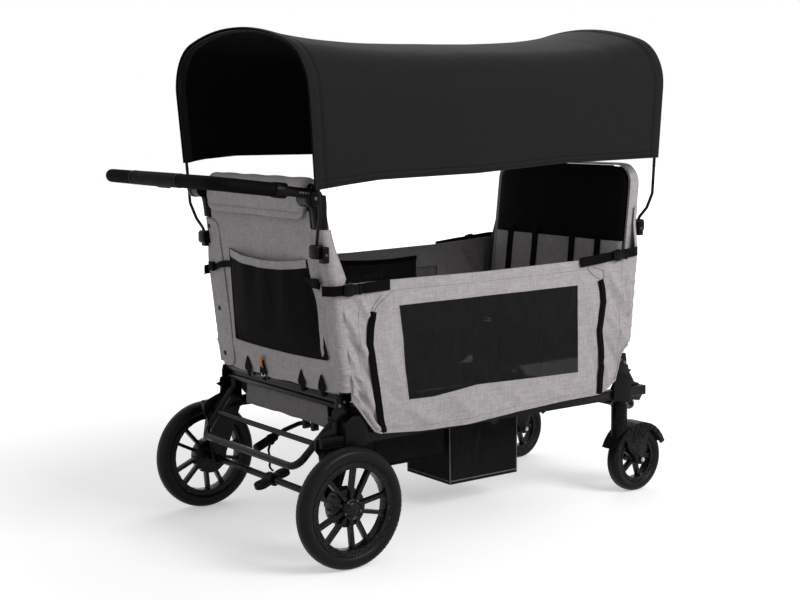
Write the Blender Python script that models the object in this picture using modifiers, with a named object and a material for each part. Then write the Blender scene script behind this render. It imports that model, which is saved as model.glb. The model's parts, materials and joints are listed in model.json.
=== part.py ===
"""Four-seat stroller wagon: two like end frames on a folding floor, with a canopy, two benches,
soft sides, big rear wheels and swivelling front casters. Metres, +Z up, +X towards the casters."""
import math

import bmesh
import bpy
from mathutils import Matrix, Vector

# General
GAP = 0.0003                    # clearance between touching pieces
BEND_STEPS = 5                  # straight pieces in a tube's right-angle bend
ROUND_SIDES = 16                # sides of a small turned piece
WHEEL_STEPS = 32                # steps round a rear wheel
CASTER_STEPS = 24               # steps round a caster wheel
LEFT, RIGHT = 1, -1             # signs of +Y and -Y
SIDE_NAMES = {LEFT: "left", RIGHT: "right"}

# Wheelbase and wheels
AXLE_X = -0.4104                # rear axle, measured from the middle of the whole stroller
FRAME_AHEAD = 0.0055            # rear end frame's zero line, ahead of the rear axle
MID_AHEAD = 0.4995              # fold line, ahead of the rear axle
CASTER_AHEAD = 0.987            # caster stems, ahead of the rear axle
REAR_TRACK = 0.697
REAR_TYRE_R = 0.146
REAR_TYRE_WIDTH = 0.041
REAR_RIM_R = 0.114
REAR_RIM_BAND = 0.015
REAR_RIM_WIDTH = 0.031
REAR_HUB_R = 0.026
REAR_HUB_OUT = 0.0134           # hub face beyond the wheel's middle plane
SPOKE_PAIRS = 5
SPOKE_SPREAD = math.radians(26)
SPOKE_WIDTH = 0.009
SPOKE_DEPTH = 0.016
DRUM_R = 0.047
DRUM_WIDTH = 0.020
AXLE_R = 0.009
RUNNING_GAP = 0.0004
CASTER_TRACK = 0.486
CASTER_TYRE_R = 0.0928
CASTER_TYRE_WIDTH = 0.040
CASTER_RIM_R = 0.066
CASTER_RIM_BAND = 0.010
CASTER_RIM_WIDTH = 0.026
CASTER_HUB_R = 0.016
CASTER_HUB_WIDTH = 0.040
CASTER_SPOKES = 5
CASTER_TRAIL = 0.058
CASTER_YAW = {LEFT: math.radians(6.0), RIGHT: math.radians(1.75)}
CASTER_BOLT_R = 0.004

# Caster fork, mudguard and housing
HOUSING_R = 0.0225
HOUSING_BOTTOM = 0.196
HOUSING_SHOULDER = 0.250
HOUSING_NECK_R = 0.016
HOUSING_TOP = 0.268
STEM_R = 0.006
STEM_RISE = 0.045               # stem above the fork's crown
FORK_HALF_WIDTH = 0.0285
FORK_LEG_T = 0.006
GUARD_R = 0.104
WHEEL_ROOM = 0.004              # between the tyre and the mudguard
GUARD_SKIRT_R = 0.089
GUARD_FRONT = 22                # degrees up from level, in front of the wheel's middle
GUARD_REAR = 158

# Rails and floor
RAIL_Y = 0.285
RAIL_WIDTH = 0.020
RAIL_HEIGHT = 0.026
RAIL_Z = 0.295
CORNER_AHEAD = 0.060            # fold pin of an end frame, from its end's zero line
PIN_R = 0.005
MID_PIN_R = 0.003
KNUCKLE_R = 0.0054
KNUCKLE_DROP = 0.006            # mid pin below the rails' lower faces
FLOOR_T = 0.010
FLOOR_Z = 0.291
FLOOR_START = 0.082

# End frames: distances are inwards from each end's zero line
PLATE_T = 0.006
CHANNEL_X = (0.018, 0.046)
CHANNEL_Z = (0.368, 0.402)
CHANNEL_GROOVE = 0.010
CHANNEL_BAR = 0.011
POST_Y = 0.260
POST_R = 0.0125
POST_FOOT = 0.035
POST_LEAN = 0.1155              # backward lean, metres per metre
POST_LEAN_START = 0.414         # height where the short upright foot ends
POST_TOP = 0.899
POST_BEND_R = 0.045
BUMPER_R = 0.0095
BUMPER_TOP_Y = {"rear": 0.248, "front": 0.218}
BUMPER_LOW_Y = 0.225
BUMPER_LOW_X = -0.0755
BUMPER_LOW_Z = 0.229
BUMPER_BEND_R = 0.035
CROSS_R = 0.007
CROSS_X = -0.0255
CROSS_Z = 0.2826
APRON_X = 0.040
APRON_T = 0.004
APRON_Z = 0.308
APRON_HALF = 0.190
STUB_END = -0.045
CHEEK_T = 0.006
CHEEK_TOP = 0.352
CHEEK_X = (0.036, 0.084)

# Handle
HANDLE_Y = 0.281
PIVOT_X = -0.050
PIVOT_Z = 0.8795
HUB_R = 0.023
BOSS_R = 0.022
BOSS_IN = 0.240                 # inner face of a pivot boss
HUB_T = 0.017
PIVOT_R = 0.006
HANDLE_RISE = 0.137             # upward slope of the handle, metres per metre
HANDLE_LIFT = 0.0108            # tube axis above the pivot
INNER_R = 0.012
INNER_END = 0.185               # inner tube's reach from the pivot
OUTER_R = 0.0155
OUTER_START = 0.082
OUTER_END = 0.265               # grip bar's distance from the pivot
HANDLE_BEND_R = 0.050
BORE_END = 0.222
COLLAR_R = 0.0185
COLLAR_LENGTH = 0.030
GRIP_R = 0.0172
GRIP_HALF = 0.112

# Brake pedal and fold lever
PEDAL_LENGTH = 0.105
PEDAL_WIDTH = 0.040
PEDAL_T = 0.012
PEDAL_BOSS_R = 0.016
LEVER_R = 0.006
LEVER_X = 0.105
LEVER_Z = 0.272
LEVER_REACH = 0.075              # from the rod back to the grip
LEVER_DROP = 0.030
LEVER_LUGS = (-0.035, 0.005)    # lugs' places across the floor board
LEVER_GRIP_R = 0.011
LEVER_GRIP_RUN = (-0.062, -0.010, -0.020)

# Cloth ends, sides and canopy
PANEL_T = 0.005
PANEL_BOTTOM = 0.404
PANEL_TOP = 0.792
PANEL_HALF = 0.2735
POCKET_BULGE = 0.016
POCKET_Z = (0.470, 0.715)
POCKET_HALF = (0.215, 0.180)    # half width at the bottom and the top
POCKET_WALL = 0.003
ROLL_R = 0.027
ROLL_FLAP_BOTTOM = 0.828
ROLL_FLAP_T = 0.016
ROLL_HALF = 0.222
SIDE_Y = 0.303
SIDE_T = 0.003
SIDE_TOP = 0.674
SIDE_WING_TOP = 0.803
SIDE_BOTTOM = 0.298
SIDE_WING = 0.020               # how far the tall corner wing runs along the side
FOLD_DEPTH = 0.0022
ARCH_R = 0.004
ARCH_HALF = 0.3165              # half width of an arch above the hem
ARCH_HEM_HALF = 0.3130
ARCH_X = {"rear": -0.058, "front": -0.051}   # arches at the rear hem's height
ARCH_LEAN = 0.070
ARCH_LOW_Z = 0.840
ARCH_CROWN_R = 0.770
ARCH_CORNER_R = 0.130
ARCH_TOP = {"rear": 1.2805, "front": 1.2875}
CLIP_X = -0.036
CLIP_Z = (0.735, 0.768)
CLIP_BACK = -0.047
CLIP_WIDTH = 0.028
CANOPY_T = 0.0025
CANOPY_HEM_Z = {"rear": 0.925, "front": 0.940}
CANOPY_HEM = {                  # hem heights along each side, as (share of the length, height)
    RIGHT: ((0.0, 0.9016), (0.08, 0.910), (0.16, 0.917), (0.43, 0.920), (0.70, 0.934), (1.0, 0.937)),
    LEFT: ((0.0, 0.946), (0.05, 0.954), (0.14, 0.960), (0.40, 0.9545), (1.0, 0.950)),
}
CANOPY_SAG = 0.040

# Benches, cushions and wells
BENCH_X = 0.049
BENCH_Z = 0.408
BENCH_T = 0.012
BENCH_DEPTH = 0.320
BENCH_HALF = 0.245
CUSHION_T = 0.038
CUSHION_CROWN = 0.010
CHANNEL_DEPTH = 0.007           # sewn channel between two places
SIDE_DRAW = 0.006               # a pad's sides drawn in between its corners
BACKREST_Z = {"rear": (0.482, 0.862), "front": (0.482, 0.915)}
BACKREST_T = 0.018
BACKREST_HALF = 0.262
BACKREST_EDGE = 0.0015          # how far the posts press into the pad's rounded edge
WELL_HALF = 0.0955
WELL_T = 0.003
WELL_X = {"rear": (0.251, 0.4815), "front": (0.254, 0.4905)}
WELL_BOTTOM = {"rear": 0.152, "front": 0.0684}
WELL_RIM = 0.006

# Worked out from the sizes above
MID_X = AXLE_X + MID_AHEAD
FOLD_REACH = MID_AHEAD - FRAME_AHEAD
REAR_ZERO = AXLE_X + FRAME_AHEAD
FRONT_ZERO = MID_X + FOLD_REACH
ENDS = {"rear": (REAR_ZERO, 1), "front": (FRONT_ZERO, -1)}
RAIL_LOW = RAIL_Z - RAIL_HEIGHT / 2
RAIL_TOP = RAIL_Z + RAIL_HEIGHT / 2
RAIL_IN = RAIL_Y - RAIL_WIDTH / 2
RAIL_OUT = RAIL_Y + RAIL_WIDTH / 2
PLATE_OUT = RAIL_IN - GAP
PLATE_IN = PLATE_OUT - PLATE_T
MID_PIN_Z = RAIL_LOW - KNUCKLE_DROP

COLOURS = {                     # colour, roughness, metallic
    "black_metal": ((0.020, 0.020, 0.021), 0.38, 0.6),
    "black_plastic": ((0.018, 0.018, 0.019), 0.45, 0.0),
    "tyre": ((0.022, 0.022, 0.023), 0.62, 0.0),
    "foam": ((0.015, 0.015, 0.015), 0.85, 0.0),
    "grey_cloth": ((0.330, 0.305, 0.305), 0.95, 0.0),
    "black_cloth": ((0.012, 0.012, 0.013), 0.92, 0.0),
    "black_mesh": ((0.010, 0.010, 0.010), 0.90, 0.0),
    "board": ((0.030, 0.030, 0.032), 0.70, 0.0),
    "steel": ((0.600, 0.600, 0.600), 0.30, 1.0),
}

for old in list(bpy.data.objects):
    bpy.data.objects.remove(old, do_unlink=True)
stroller = bpy.data.collections.new("four_seat_stroller")
cutters = bpy.data.collections.new("cutters")
bpy.context.scene.collection.children.link(stroller)
bpy.context.scene.collection.children.link(cutters)


# Shared helpers

def material(name, finish):
    colour, roughness, metallic = COLOURS[finish]
    made = bpy.data.materials.new(name)
    made.use_nodes = True
    shader = made.node_tree.nodes["Principled BSDF"]
    shader.inputs["Base Color"].default_value = (*colour, 1.0)
    shader.inputs["Roughness"].default_value = roughness
    shader.inputs["Metallic"].default_value = metallic
    made.diffuse_color = (*colour, 1.0)
    return made


def mesh_from(bm, name="shape"):
    mesh = bpy.data.meshes.new(name)
    bmesh.ops.recalc_face_normals(bm, faces=bm.faces)
    bm.to_mesh(mesh)
    bm.free()
    return mesh


def node(name, mesh, finish, origin=(0, 0, 0), smooth=35):
    """Puts a mesh in the stroller as one named piece with its origin at a given point."""
    mesh.name = name
    mesh.transform(Matrix.Translation(-Vector(origin)))
    mesh.materials.clear()
    mesh.materials.append(material(name, finish))
    mesh.shade_smooth()
    mesh.set_sharp_from_angle(angle=math.radians(smooth))
    piece = bpy.data.objects.new(name, mesh)
    piece.location = origin
    stroller.objects.link(piece)
    return piece


def cutter(mesh):
    tool = bpy.data.objects.new("cutter", mesh)
    tool.hide_render = True
    tool.display_type = "WIRE"
    cutters.objects.link(tool)
    return tool


def combine(first, others, operation):
    """Adds meshes to the first one, or cuts them from it, and returns the new mesh."""
    host = bpy.data.objects.new("host", first)
    cutters.objects.link(host)
    for other in others:
        step = host.modifiers.new(operation.lower(), "BOOLEAN")
        step.operation = operation
        step.object = cutter(other)
    result = bpy.data.meshes.new_from_object(host.evaluated_get(bpy.context.evaluated_depsgraph_get()))
    for tool in [host] + [step.object for step in host.modifiers]:
        bpy.data.objects.remove(tool, do_unlink=True)
    return result


def join(first, *others):
    return combine(first, others, "UNION")


def cut(first, *others):
    return combine(first, others, "DIFFERENCE")


def box(low, high, bevel=0.0):
    bm = bmesh.new()
    bmesh.ops.create_cube(bm, size=1.0)
    size = [high[i] - low[i] for i in range(3)]
    bmesh.ops.scale(bm, vec=size, verts=bm.verts)
    bmesh.ops.translate(bm, vec=[(high[i] + low[i]) / 2 for i in range(3)], verts=bm.verts)
    if bevel:
        bmesh.ops.bevel(bm, geom=bm.edges, offset=bevel, segments=1, affect="EDGES")
    return mesh_from(bm)


def rod(start, end, radius, sides=ROUND_SIDES, end_radius=None):
    """A cylinder or cone between two points."""
    start, end = Vector(start), Vector(end)
    axis = end - start
    bm = bmesh.new()
    bmesh.ops.create_cone(bm, cap_ends=True, segments=sides, radius1=radius,
                          radius2=radius if end_radius is None else end_radius, depth=axis.length)
    turn = Vector((0, 0, 1)).rotation_difference(axis.normalized()).to_matrix().to_4x4()
    bmesh.ops.transform(bm, matrix=Matrix.Translation((start + end) / 2) @ turn, verts=bm.verts)
    return mesh_from(bm)


def evaluated(thing):
    mesh = bpy.data.meshes.new_from_object(thing.evaluated_get(bpy.context.evaluated_depsgraph_get()))
    mesh.transform(thing.matrix_world)
    bpy.data.objects.remove(thing, do_unlink=True)
    bm = bmesh.new()
    bm.from_mesh(mesh)
    bmesh.ops.remove_doubles(bm, verts=bm.verts, dist=0.00002)
    return mesh_from(bm)


def tube(points, radius, resolution=2):
    """A capped tube along straight runs between points."""
    curve = bpy.data.curves.new("run", "CURVE")
    curve.dimensions = "3D"
    curve.bevel_depth = radius
    curve.bevel_resolution = resolution
    curve.use_fill_caps = True
    run = curve.splines.new("POLY")
    run.points.add(len(points) - 1)
    for spot, at in zip(run.points, points):
        spot.co = (*at, 1.0)
    thing = bpy.data.objects.new("run", curve)
    cutters.objects.link(thing)
    return evaluated(thing)


def plate(outline, y_low, y_high, holes=()):
    """A flat outline in X and Z, with round holes, between two Y planes."""
    curve = bpy.data.curves.new("outline", "CURVE")
    curve.dimensions = "2D"
    curve.fill_mode = "BOTH"
    curve.extrude = abs(y_high - y_low) / 2
    for loop in [outline] + [ring(x, z, radius) for x, z, radius in holes]:
        run = curve.splines.new("POLY")
        run.points.add(len(loop) - 1)
        run.use_cyclic_u = True
        for spot, (x, z) in zip(run.points, loop):
            spot.co = (x, z, 0.0, 1.0)
    thing = bpy.data.objects.new("outline", curve)
    thing.rotation_euler = (math.pi / 2, 0, 0)
    thing.location.y = (y_low + y_high) / 2
    cutters.objects.link(thing)
    bpy.context.view_layer.update()
    return evaluated(thing)


def turned(profile, steps, centre=(0, 0, 0), axis="Y"):
    """Revolves a closed loop of (radius, height) points round an axis through a centre."""
    mesh = bpy.data.meshes.new("profile")
    count = len(profile)
    mesh.from_pydata([(r, 0, h) for r, h in profile], [(i, (i + 1) % count) for i in range(count)], [])
    thing = bpy.data.objects.new("profile", mesh)
    screw = thing.modifiers.new("turn", "SCREW")
    screw.steps = steps
    screw.render_steps = steps
    screw.use_merge_vertices = True
    screw.merge_threshold = 0.00001
    if axis == "Y":
        thing.rotation_euler = (-math.pi / 2, 0, 0)
    thing.location = centre
    cutters.objects.link(thing)
    bpy.context.view_layer.update()
    return evaluated(thing)


def ring(x, z, radius, sides=ROUND_SIDES):
    return [(x + radius * math.cos(2 * math.pi * i / sides), z + radius * math.sin(2 * math.pi * i / sides))
            for i in range(sides)]


def arc(x, z, radius, start, end, steps):
    return [(x + radius * math.cos(math.radians(start + (end - start) * i / steps)),
             z + radius * math.sin(math.radians(start + (end - start) * i / steps)))
            for i in range(steps + 1)]


def rounded(points, radius, steps=BEND_STEPS):
    """Replaces each inner corner of a route with an arc of short straight pieces."""
    route = [Vector(points[0])]
    for before, corner, after in zip(points, points[1:], points[2:]):
        before, corner, after = Vector(before), Vector(corner), Vector(after)
        back, on = (before - corner).normalized(), (after - corner).normalized()
        half = back.angle(on) / 2
        reach = radius / math.tan(half)
        start, end = corner + back * reach, corner + on * reach
        centre = corner + (back + on).normalized() * (radius / math.sin(half))
        first, last = start - centre, end - centre
        sweep = first.angle(last)
        for i in range(steps + 1):
            share = i / steps
            weight = (math.sin((1 - share) * sweep) * first + math.sin(share * sweep) * last)
            route.append(centre + weight / math.sin(sweep))
    route.append(Vector(points[-1]))
    return route


def end_x(end, distance):
    """World X of a distance inwards from an end's zero line."""
    zero, way = ENDS[end]
    return zero + way * distance


def end_point(end, distance, y, z):
    return (end_x(end, distance), y, z)


def span(end, low, high):
    """World X of two distances, lower one first."""
    return sorted((end_x(end, low), end_x(end, high)))


def end_outline(end, outline):
    return [(end_x(end, x), z) for x, z in outline]


def sheet(front, back):
    """Closes two equal grids of points, front and back of a cloth, into one solid."""
    bm = bmesh.new()
    grids = [[[bm.verts.new(p) for p in row] for row in grid] for grid in (front, back)]
    rows, columns = len(front), len(front[0])
    for grid in grids:
        for i in range(rows - 1):
            for j in range(columns - 1):
                bm.faces.new((grid[i][j], grid[i][j + 1], grid[i + 1][j + 1], grid[i + 1][j]))
    rim = [(0, j) for j in range(columns)] + [(i, columns - 1) for i in range(1, rows)]
    rim += [(rows - 1, j) for j in range(columns - 2, -1, -1)] + [(i, 0) for i in range(rows - 2, 0, -1)]
    for (i, j), (k, m) in zip(rim, rim[1:] + rim[:1]):
        bm.faces.new((grids[0][i][j], grids[0][k][m], grids[1][k][m], grids[1][i][j]))
    return mesh_from(bm)


# End frames

def post_x(z):
    """Distance of the leaning posts' axis at a height."""
    return POST_FOOT - POST_LEAN * (z - CHANNEL_Z[1])


def panel_back(z):
    """Distance of the end cloth's outer face at a height."""
    return post_x(max(z, POST_LEAN_START)) - POST_R - GAP - PANEL_T


def side_plate(end, side):
    lower = []
    holes = [(end_x(end, CORNER_AHEAD), RAIL_Z, PIN_R + RUNNING_GAP)]
    if end == "rear":
        lower = arc(-FRAME_AHEAD, REAR_TYRE_R, 0.022, 200, 340, 8)
        lower = [(-FRAME_AHEAD - 0.022, REAR_TYRE_R + 0.016)] + lower + [(-FRAME_AHEAD + 0.022, REAR_TYRE_R + 0.016)]
        holes.append((AXLE_X, REAR_TYRE_R, AXLE_R + GAP))
    nose = arc(CORNER_AHEAD, RAIL_Z, 0.014, -80, 60, 6)
    upper = [(0.052, 0.330), (0.052, CHANNEL_Z[1]), (0.014, CHANNEL_Z[1]), (0.010, 0.385)]
    notches = []
    for low in (0.352, 0.322):
        notches += [(0.010, low + 0.018), (0.004, low + 0.016), (0.002, low + 0.004), (-0.010, low)]
    heel = [(-0.036, 0.312), (-0.050, 0.300), (-0.050, 0.276), (-0.040, 0.262)]
    outline = lower + nose + upper + notches + heel
    low, high = sorted((side * PLATE_IN, side * PLATE_OUT))
    shape = plate(end_outline(end, outline), low, high, holes)
    node(f"side_plate_{end}_{SIDE_NAMES[side]}", shape, "black_metal")


def cross_channel(end):
    x0, x1 = CHANNEL_X
    z0, z1 = CHANNEL_Z
    outline = [(x0, z0), (x1, z0), (x1, z1), (x0, z1), (x0, z1 - CHANNEL_BAR),
               (x0 + CHANNEL_GROOVE, z1 - CHANNEL_BAR), (x0 + CHANNEL_GROOVE, z0 + CHANNEL_BAR),
               (x0, z0 + CHANNEL_BAR)]
    width = PLATE_IN - GAP
    node(f"cross_channel_{end}", plate(end_outline(end, outline), -width, width), "black_metal")


def bumper(end):
    """Low U of tube under a cross channel, with a cross tube welded to the rear one."""
    middle = sum(CHANNEL_X) / 2
    top, top_y = CHANNEL_Z[0] - GAP, BUMPER_TOP_Y[end]
    route = [end_point(end, middle, -top_y, top),
             end_point(end, middle, -top_y, top - 0.022),
             end_point(end, BUMPER_LOW_X, -BUMPER_LOW_Y, BUMPER_LOW_Z),
             end_point(end, BUMPER_LOW_X, BUMPER_LOW_Y, BUMPER_LOW_Z),
             end_point(end, middle, top_y, top - 0.022),
             end_point(end, middle, top_y, top)]
    bent = [route[0], route[1]] + rounded(route[1:5], BUMPER_BEND_R)[1:-1] + [route[4], route[5]]
    shape = tube(bent, BUMPER_R)
    if end == "rear":
        width = PLATE_IN - GAP
        cross = rod(end_point(end, CROSS_X, -width, CROSS_Z), end_point(end, CROSS_X, width, CROSS_Z),
                    CROSS_R, 12)
        shape = join(shape, cross)
    node(f"bumper_{end}", shape, "black_metal")


def apron():
    """Grey cloth strip under the rear cross channel."""
    x0, x1 = span("rear", APRON_X, APRON_X + APRON_T)
    shape = box((x0, -APRON_HALF, APRON_Z), (x1, APRON_HALF, CHANNEL_Z[0] - GAP), 0.0012)
    node("apron_rear", shape, "grey_cloth")


def corner_bracket(end, side):
    """Rail stub, web and outer cheek, with the fold pin that reaches into the side plate."""
    stub_y = sorted((side * RAIL_IN, side * RAIL_OUT))
    cheek_in = RAIL_OUT + GAP
    full_y = sorted((side * RAIL_IN, side * (cheek_in + CHEEK_T)))
    cheek_y = sorted((side * cheek_in, side * (cheek_in + CHEEK_T)))
    web_x = (CHEEK_X[0] - 0.018, CHEEK_X[0])
    stub_x = span(end, STUB_END, web_x[0] + 0.004)
    stub = box((stub_x[0], stub_y[0], RAIL_LOW), (stub_x[1], stub_y[1], RAIL_TOP), 0.002)
    xs = span(end, *web_x)
    web = box((xs[0], full_y[0], RAIL_LOW - 0.004), (xs[1], full_y[1], CHEEK_TOP - 0.012), 0.0015)
    top = CHEEK_TOP - 0.012
    outline = [(web_x[0] + 0.003, RAIL_LOW - 0.004), (CHEEK_X[1] - 0.004, RAIL_LOW - 0.004),
               (CHEEK_X[1], RAIL_LOW), (CHEEK_X[1], top)]
    outline += [(CHEEK_X[1] - 0.012, CHEEK_TOP), (CHEEK_X[0] + 0.002, CHEEK_TOP), (web_x[0] + 0.003, top)]
    cheek = plate(end_outline(end, outline), *cheek_y)
    pin = rod(end_point(end, CORNER_AHEAD, side * (PLATE_IN + 0.001), RAIL_Z),
              end_point(end, CORNER_AHEAD, side * (cheek_in + CHEEK_T / 2), RAIL_Z), PIN_R)
    node(f"corner_bracket_{end}_{SIDE_NAMES[side]}", join(stub, web, cheek, pin), "black_plastic")


def post_frame(end):
    """Two leaning posts with a top bar. The rear one carries the handle's two pivot bosses."""
    foot_z = CHANNEL_Z[1] + GAP
    lean_start = POST_LEAN_START
    route = [end_point(end, post_x(lean_start), -POST_Y, foot_z),
             end_point(end, post_x(lean_start), -POST_Y, lean_start),
             end_point(end, post_x(POST_TOP), -POST_Y, POST_TOP),
             end_point(end, post_x(POST_TOP), POST_Y, POST_TOP),
             end_point(end, post_x(lean_start), POST_Y, lean_start),
             end_point(end, post_x(lean_start), POST_Y, foot_z)]
    bent = [route[0], route[1]] + rounded(route[1:5], POST_BEND_R)[1:-1] + [route[4], route[5]]
    shape = tube(bent, POST_R)
    if end == "rear":
        bosses = []
        for side in (LEFT, RIGHT):
            inner, outer = HANDLE_Y - HUB_T / 2 - GAP, HANDLE_Y + HUB_T / 2
            bosses.append(rod(end_point(end, PIVOT_X, side * BOSS_IN, PIVOT_Z),
                              end_point(end, PIVOT_X, side * inner, PIVOT_Z), BOSS_R, 20))
            bosses.append(rod(end_point(end, PIVOT_X, side * (POST_Y - 0.002), PIVOT_Z),
                              end_point(end, PIVOT_X, side * outer, PIVOT_Z), PIVOT_R))
        shape = join(shape, *bosses)
    node(f"post_frame_{end}", shape, "black_metal")


def clip(end, side):
    """Canopy socket clamped behind a post, open at the top for the arch rod."""
    y = sorted((side * (POST_Y - 0.006), side * (POST_Y - 0.006 + CLIP_WIDTH)))
    low, high = CLIP_Z
    outline = [(panel_back(low) - GAP, low), (panel_back(high) - GAP, high), (CLIP_X - 0.006, high),
               (CLIP_BACK, high - 0.005), (CLIP_BACK, low + 0.005), (CLIP_X - 0.006, low)]
    block = plate(end_outline(end, outline), *y)
    bore = rod(end_point(end, CLIP_X, side * (POST_Y + 0.012), low + 0.006),
               end_point(end, CLIP_X, side * (POST_Y + 0.012), high + 0.01), ARCH_R + 0.0012, 8)
    node(f"canopy_clip_{end}_{SIDE_NAMES[side]}", cut(block, bore), "black_plastic")


def arch_half(end):
    """One half of the canopy arch's route from its foot to the ridge, as (distance, y, z)."""
    hem, top = CANOPY_HEM_Z[end], ARCH_TOP[end]

    def lean(z):
        return ARCH_X[end] - ARCH_LEAN * (z - CANOPY_HEM_Z["rear"])
    foot_y = POST_Y + 0.012
    points = [(CLIP_X, foot_y, CLIP_Z[0] + 0.007), (CLIP_X, foot_y, CLIP_Z[1] + 0.004),
              (CLIP_X - 0.010, foot_y + 0.020, ARCH_LOW_Z - 0.040), (lean(ARCH_LOW_Z), ARCH_HEM_HALF, ARCH_LOW_Z),
              (lean(hem), ARCH_HEM_HALF, hem)]
    side, gap = ARCH_HALF - ARCH_CORNER_R, ARCH_CROWN_R - ARCH_CORNER_R
    crown_z = top - ARCH_CROWN_R
    corner_z = crown_z + math.sqrt(gap * gap - side * side)
    meet = math.acos(side / gap)
    for share in (0.0, 0.2, 0.4, 0.6, 0.8, 1.0):
        z = corner_z + ARCH_CORNER_R * math.sin(meet * share)
        points.append((lean(z), side + ARCH_CORNER_R * math.cos(meet * share), z))
    for share in (0.34, 0.67, 1.0):
        angle = meet + (math.pi / 2 - meet) * share
        z = crown_z + ARCH_CROWN_R * math.sin(angle)
        points.append((lean(z), max(0.0, ARCH_CROWN_R * math.cos(angle)), z))
    return points


def canopy_arch(end):
    half = arch_half(end)
    route = [end_point(end, d, -y, z) for d, y, z in half] + [end_point(end, d, y, z) for d, y, z in half[-2::-1]]
    node(f"canopy_arch_{end}", tube(route, ARCH_R, 1), "black_metal")


def end_panel(end):
    """Cloth over the posts' outer faces. The rear one has a pocket that is open at the top."""
    narrow = POST_Y - POST_R - 0.012
    levels = ((PANEL_BOTTOM, PANEL_HALF), (PANEL_TOP - 0.004, PANEL_HALF), (PANEL_TOP + 0.004, narrow),
              (ROLL_FLAP_BOTTOM - 0.002, narrow))
    shape = block_loft(end, [(z, half, panel_back(z) + PANEL_T, panel_back(z)) for z, half in levels])
    if end == "rear":
        pocket = block_loft(end, pocket_rows(0.0, POCKET_BULGE, *POCKET_Z))
        hollow_rows = pocket_rows(POCKET_WALL, POCKET_BULGE - POCKET_WALL, POCKET_Z[0] + POCKET_WALL,
                                  POCKET_Z[1] + 0.01)
        hollow = block_loft(end, [(z, half, inner - 0.0022, outer) for z, half, inner, outer in hollow_rows])
        shape = cut(join(shape, pocket), hollow)
    node(f"end_panel_{end}", shape, "grey_cloth", smooth=50)


def pocket_rows(inset, bulge, z_low, z_high):
    """Rows of the pocket's tapered block at three heights."""
    rows = []
    for share, swell in ((0.0, 0.75), (0.35, 1.0), (1.0, 0.7)):
        z = z_low + (z_high - z_low) * share
        half = POCKET_HALF[0] + (POCKET_HALF[1] - POCKET_HALF[0]) * share - inset
        rows.append((z, half, panel_back(z) + 0.001, panel_back(z) - bulge * swell))
    return rows


def block_loft(end, rows):
    """Closed block through rows of (height, half width, inner distance, outer distance)."""
    bm = bmesh.new()
    loops = []
    for z, half, inner, outer in rows:
        corners = [(inner, -half), (outer, -half), (outer, half), (inner, half)]
        loops.append([bm.verts.new(end_point(end, d, y, z)) for d, y in corners])
    for lower, upper in zip(loops, loops[1:]):
        for i in range(4):
            bm.faces.new((lower[i], lower[(i + 1) % 4], upper[(i + 1) % 4], upper[i]))
    bm.faces.new(loops[0])
    bm.faces.new(loops[-1])
    return mesh_from(bm)


def top_roll(end):
    """Padded roll hung over the top bar, with a flap down its outer side."""
    bar_x = post_x(POST_TOP)
    skin = (POST_R + GAP) / math.cos(math.radians(15))
    outer = arc(bar_x, POST_TOP, ROLL_R, 180, 0, 8)
    inner = arc(bar_x, POST_TOP, skin, 0, 180, 6)
    flap_x = bar_x - ROLL_R
    flap = [(flap_x + ROLL_FLAP_T, ROLL_FLAP_BOTTOM + 0.004), (flap_x + ROLL_FLAP_T * 0.7, ROLL_FLAP_BOTTOM),
            (flap_x + ROLL_FLAP_T * 0.2, ROLL_FLAP_BOTTOM), (flap_x - 0.003, ROLL_FLAP_BOTTOM + 0.012)]
    loop = outer + [(bar_x + ROLL_R * 0.8, POST_TOP - 0.03), (bar_x + skin, POST_TOP - 0.03)] + inner
    outline = loop + [(flap_x + ROLL_FLAP_T - 0.003, POST_TOP - 0.028)] + flap
    bm = bmesh.new()
    loops = []
    for share, shrink in ((-1.0, 0.55), (-0.975, 0.85), (-0.93, 1.0), (-0.4, 1.0), (0.4, 1.0),
                          (0.93, 1.0), (0.975, 0.85), (1.0, 0.55)):
        row = []
        for x, z in outline:
            reach = math.hypot(x - bar_x, z - POST_TOP)
            hold = skin / reach
            scale = hold + (1 - hold) * shrink if z > ROLL_FLAP_BOTTOM + 0.05 else 1.0
            low_z = z + (1 - shrink) * 0.06 if z < ROLL_FLAP_BOTTOM + 0.05 else None
            new_z = low_z if low_z is not None else POST_TOP + (z - POST_TOP) * scale
            row.append(bm.verts.new(end_point(end, bar_x + (x - bar_x) * scale, share * ROLL_HALF, new_z)))
        loops.append(row)
    count = len(outline)
    for one, two in zip(loops, loops[1:]):
        for i in range(count):
            bm.faces.new((one[i], one[(i + 1) % count], two[(i + 1) % count], two[i]))
    bm.faces.new(loops[0])
    bm.faces.new(loops[-1])
    node(f"top_roll_{end}", mesh_from(bm), "grey_cloth", smooth=60)


def cushion(half_x, half_y, thick, crown, columns=12, rows=8):
    """A crowned two-place pad on its middle point, its sides drawn in between the corners."""
    top, bottom = [], []
    for i in range(rows + 1):
        v = -1 + 2 * i / rows
        top_row, low_row = [], []
        for j in range(columns + 1):
            u = -1 + 2 * j / columns
            edge = (1 - abs(u) ** 6) * (1 - abs(v) ** 6)
            x = half_x * v - math.copysign(SIDE_DRAW, v) * abs(v) ** 3 * (1 - u * u)
            y = half_y * u - math.copysign(SIDE_DRAW, u) * abs(u) ** 3 * (1 - v * v)
            seam = CHANNEL_DEPTH * math.exp(-(u / 0.06) ** 2)
            places = crown * abs(math.sin(math.pi * u)) ** 0.5
            height = thick * (0.45 + 0.55 * edge ** 0.5) + (places - seam) * edge
            top_row.append(Vector((x, y, height)))
            low_row.append(Vector((x, y, thick * 0.18 * (1 - edge ** 0.5))))
        top.append(top_row)
        bottom.append(low_row)
    return sheet(top, bottom)


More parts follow.
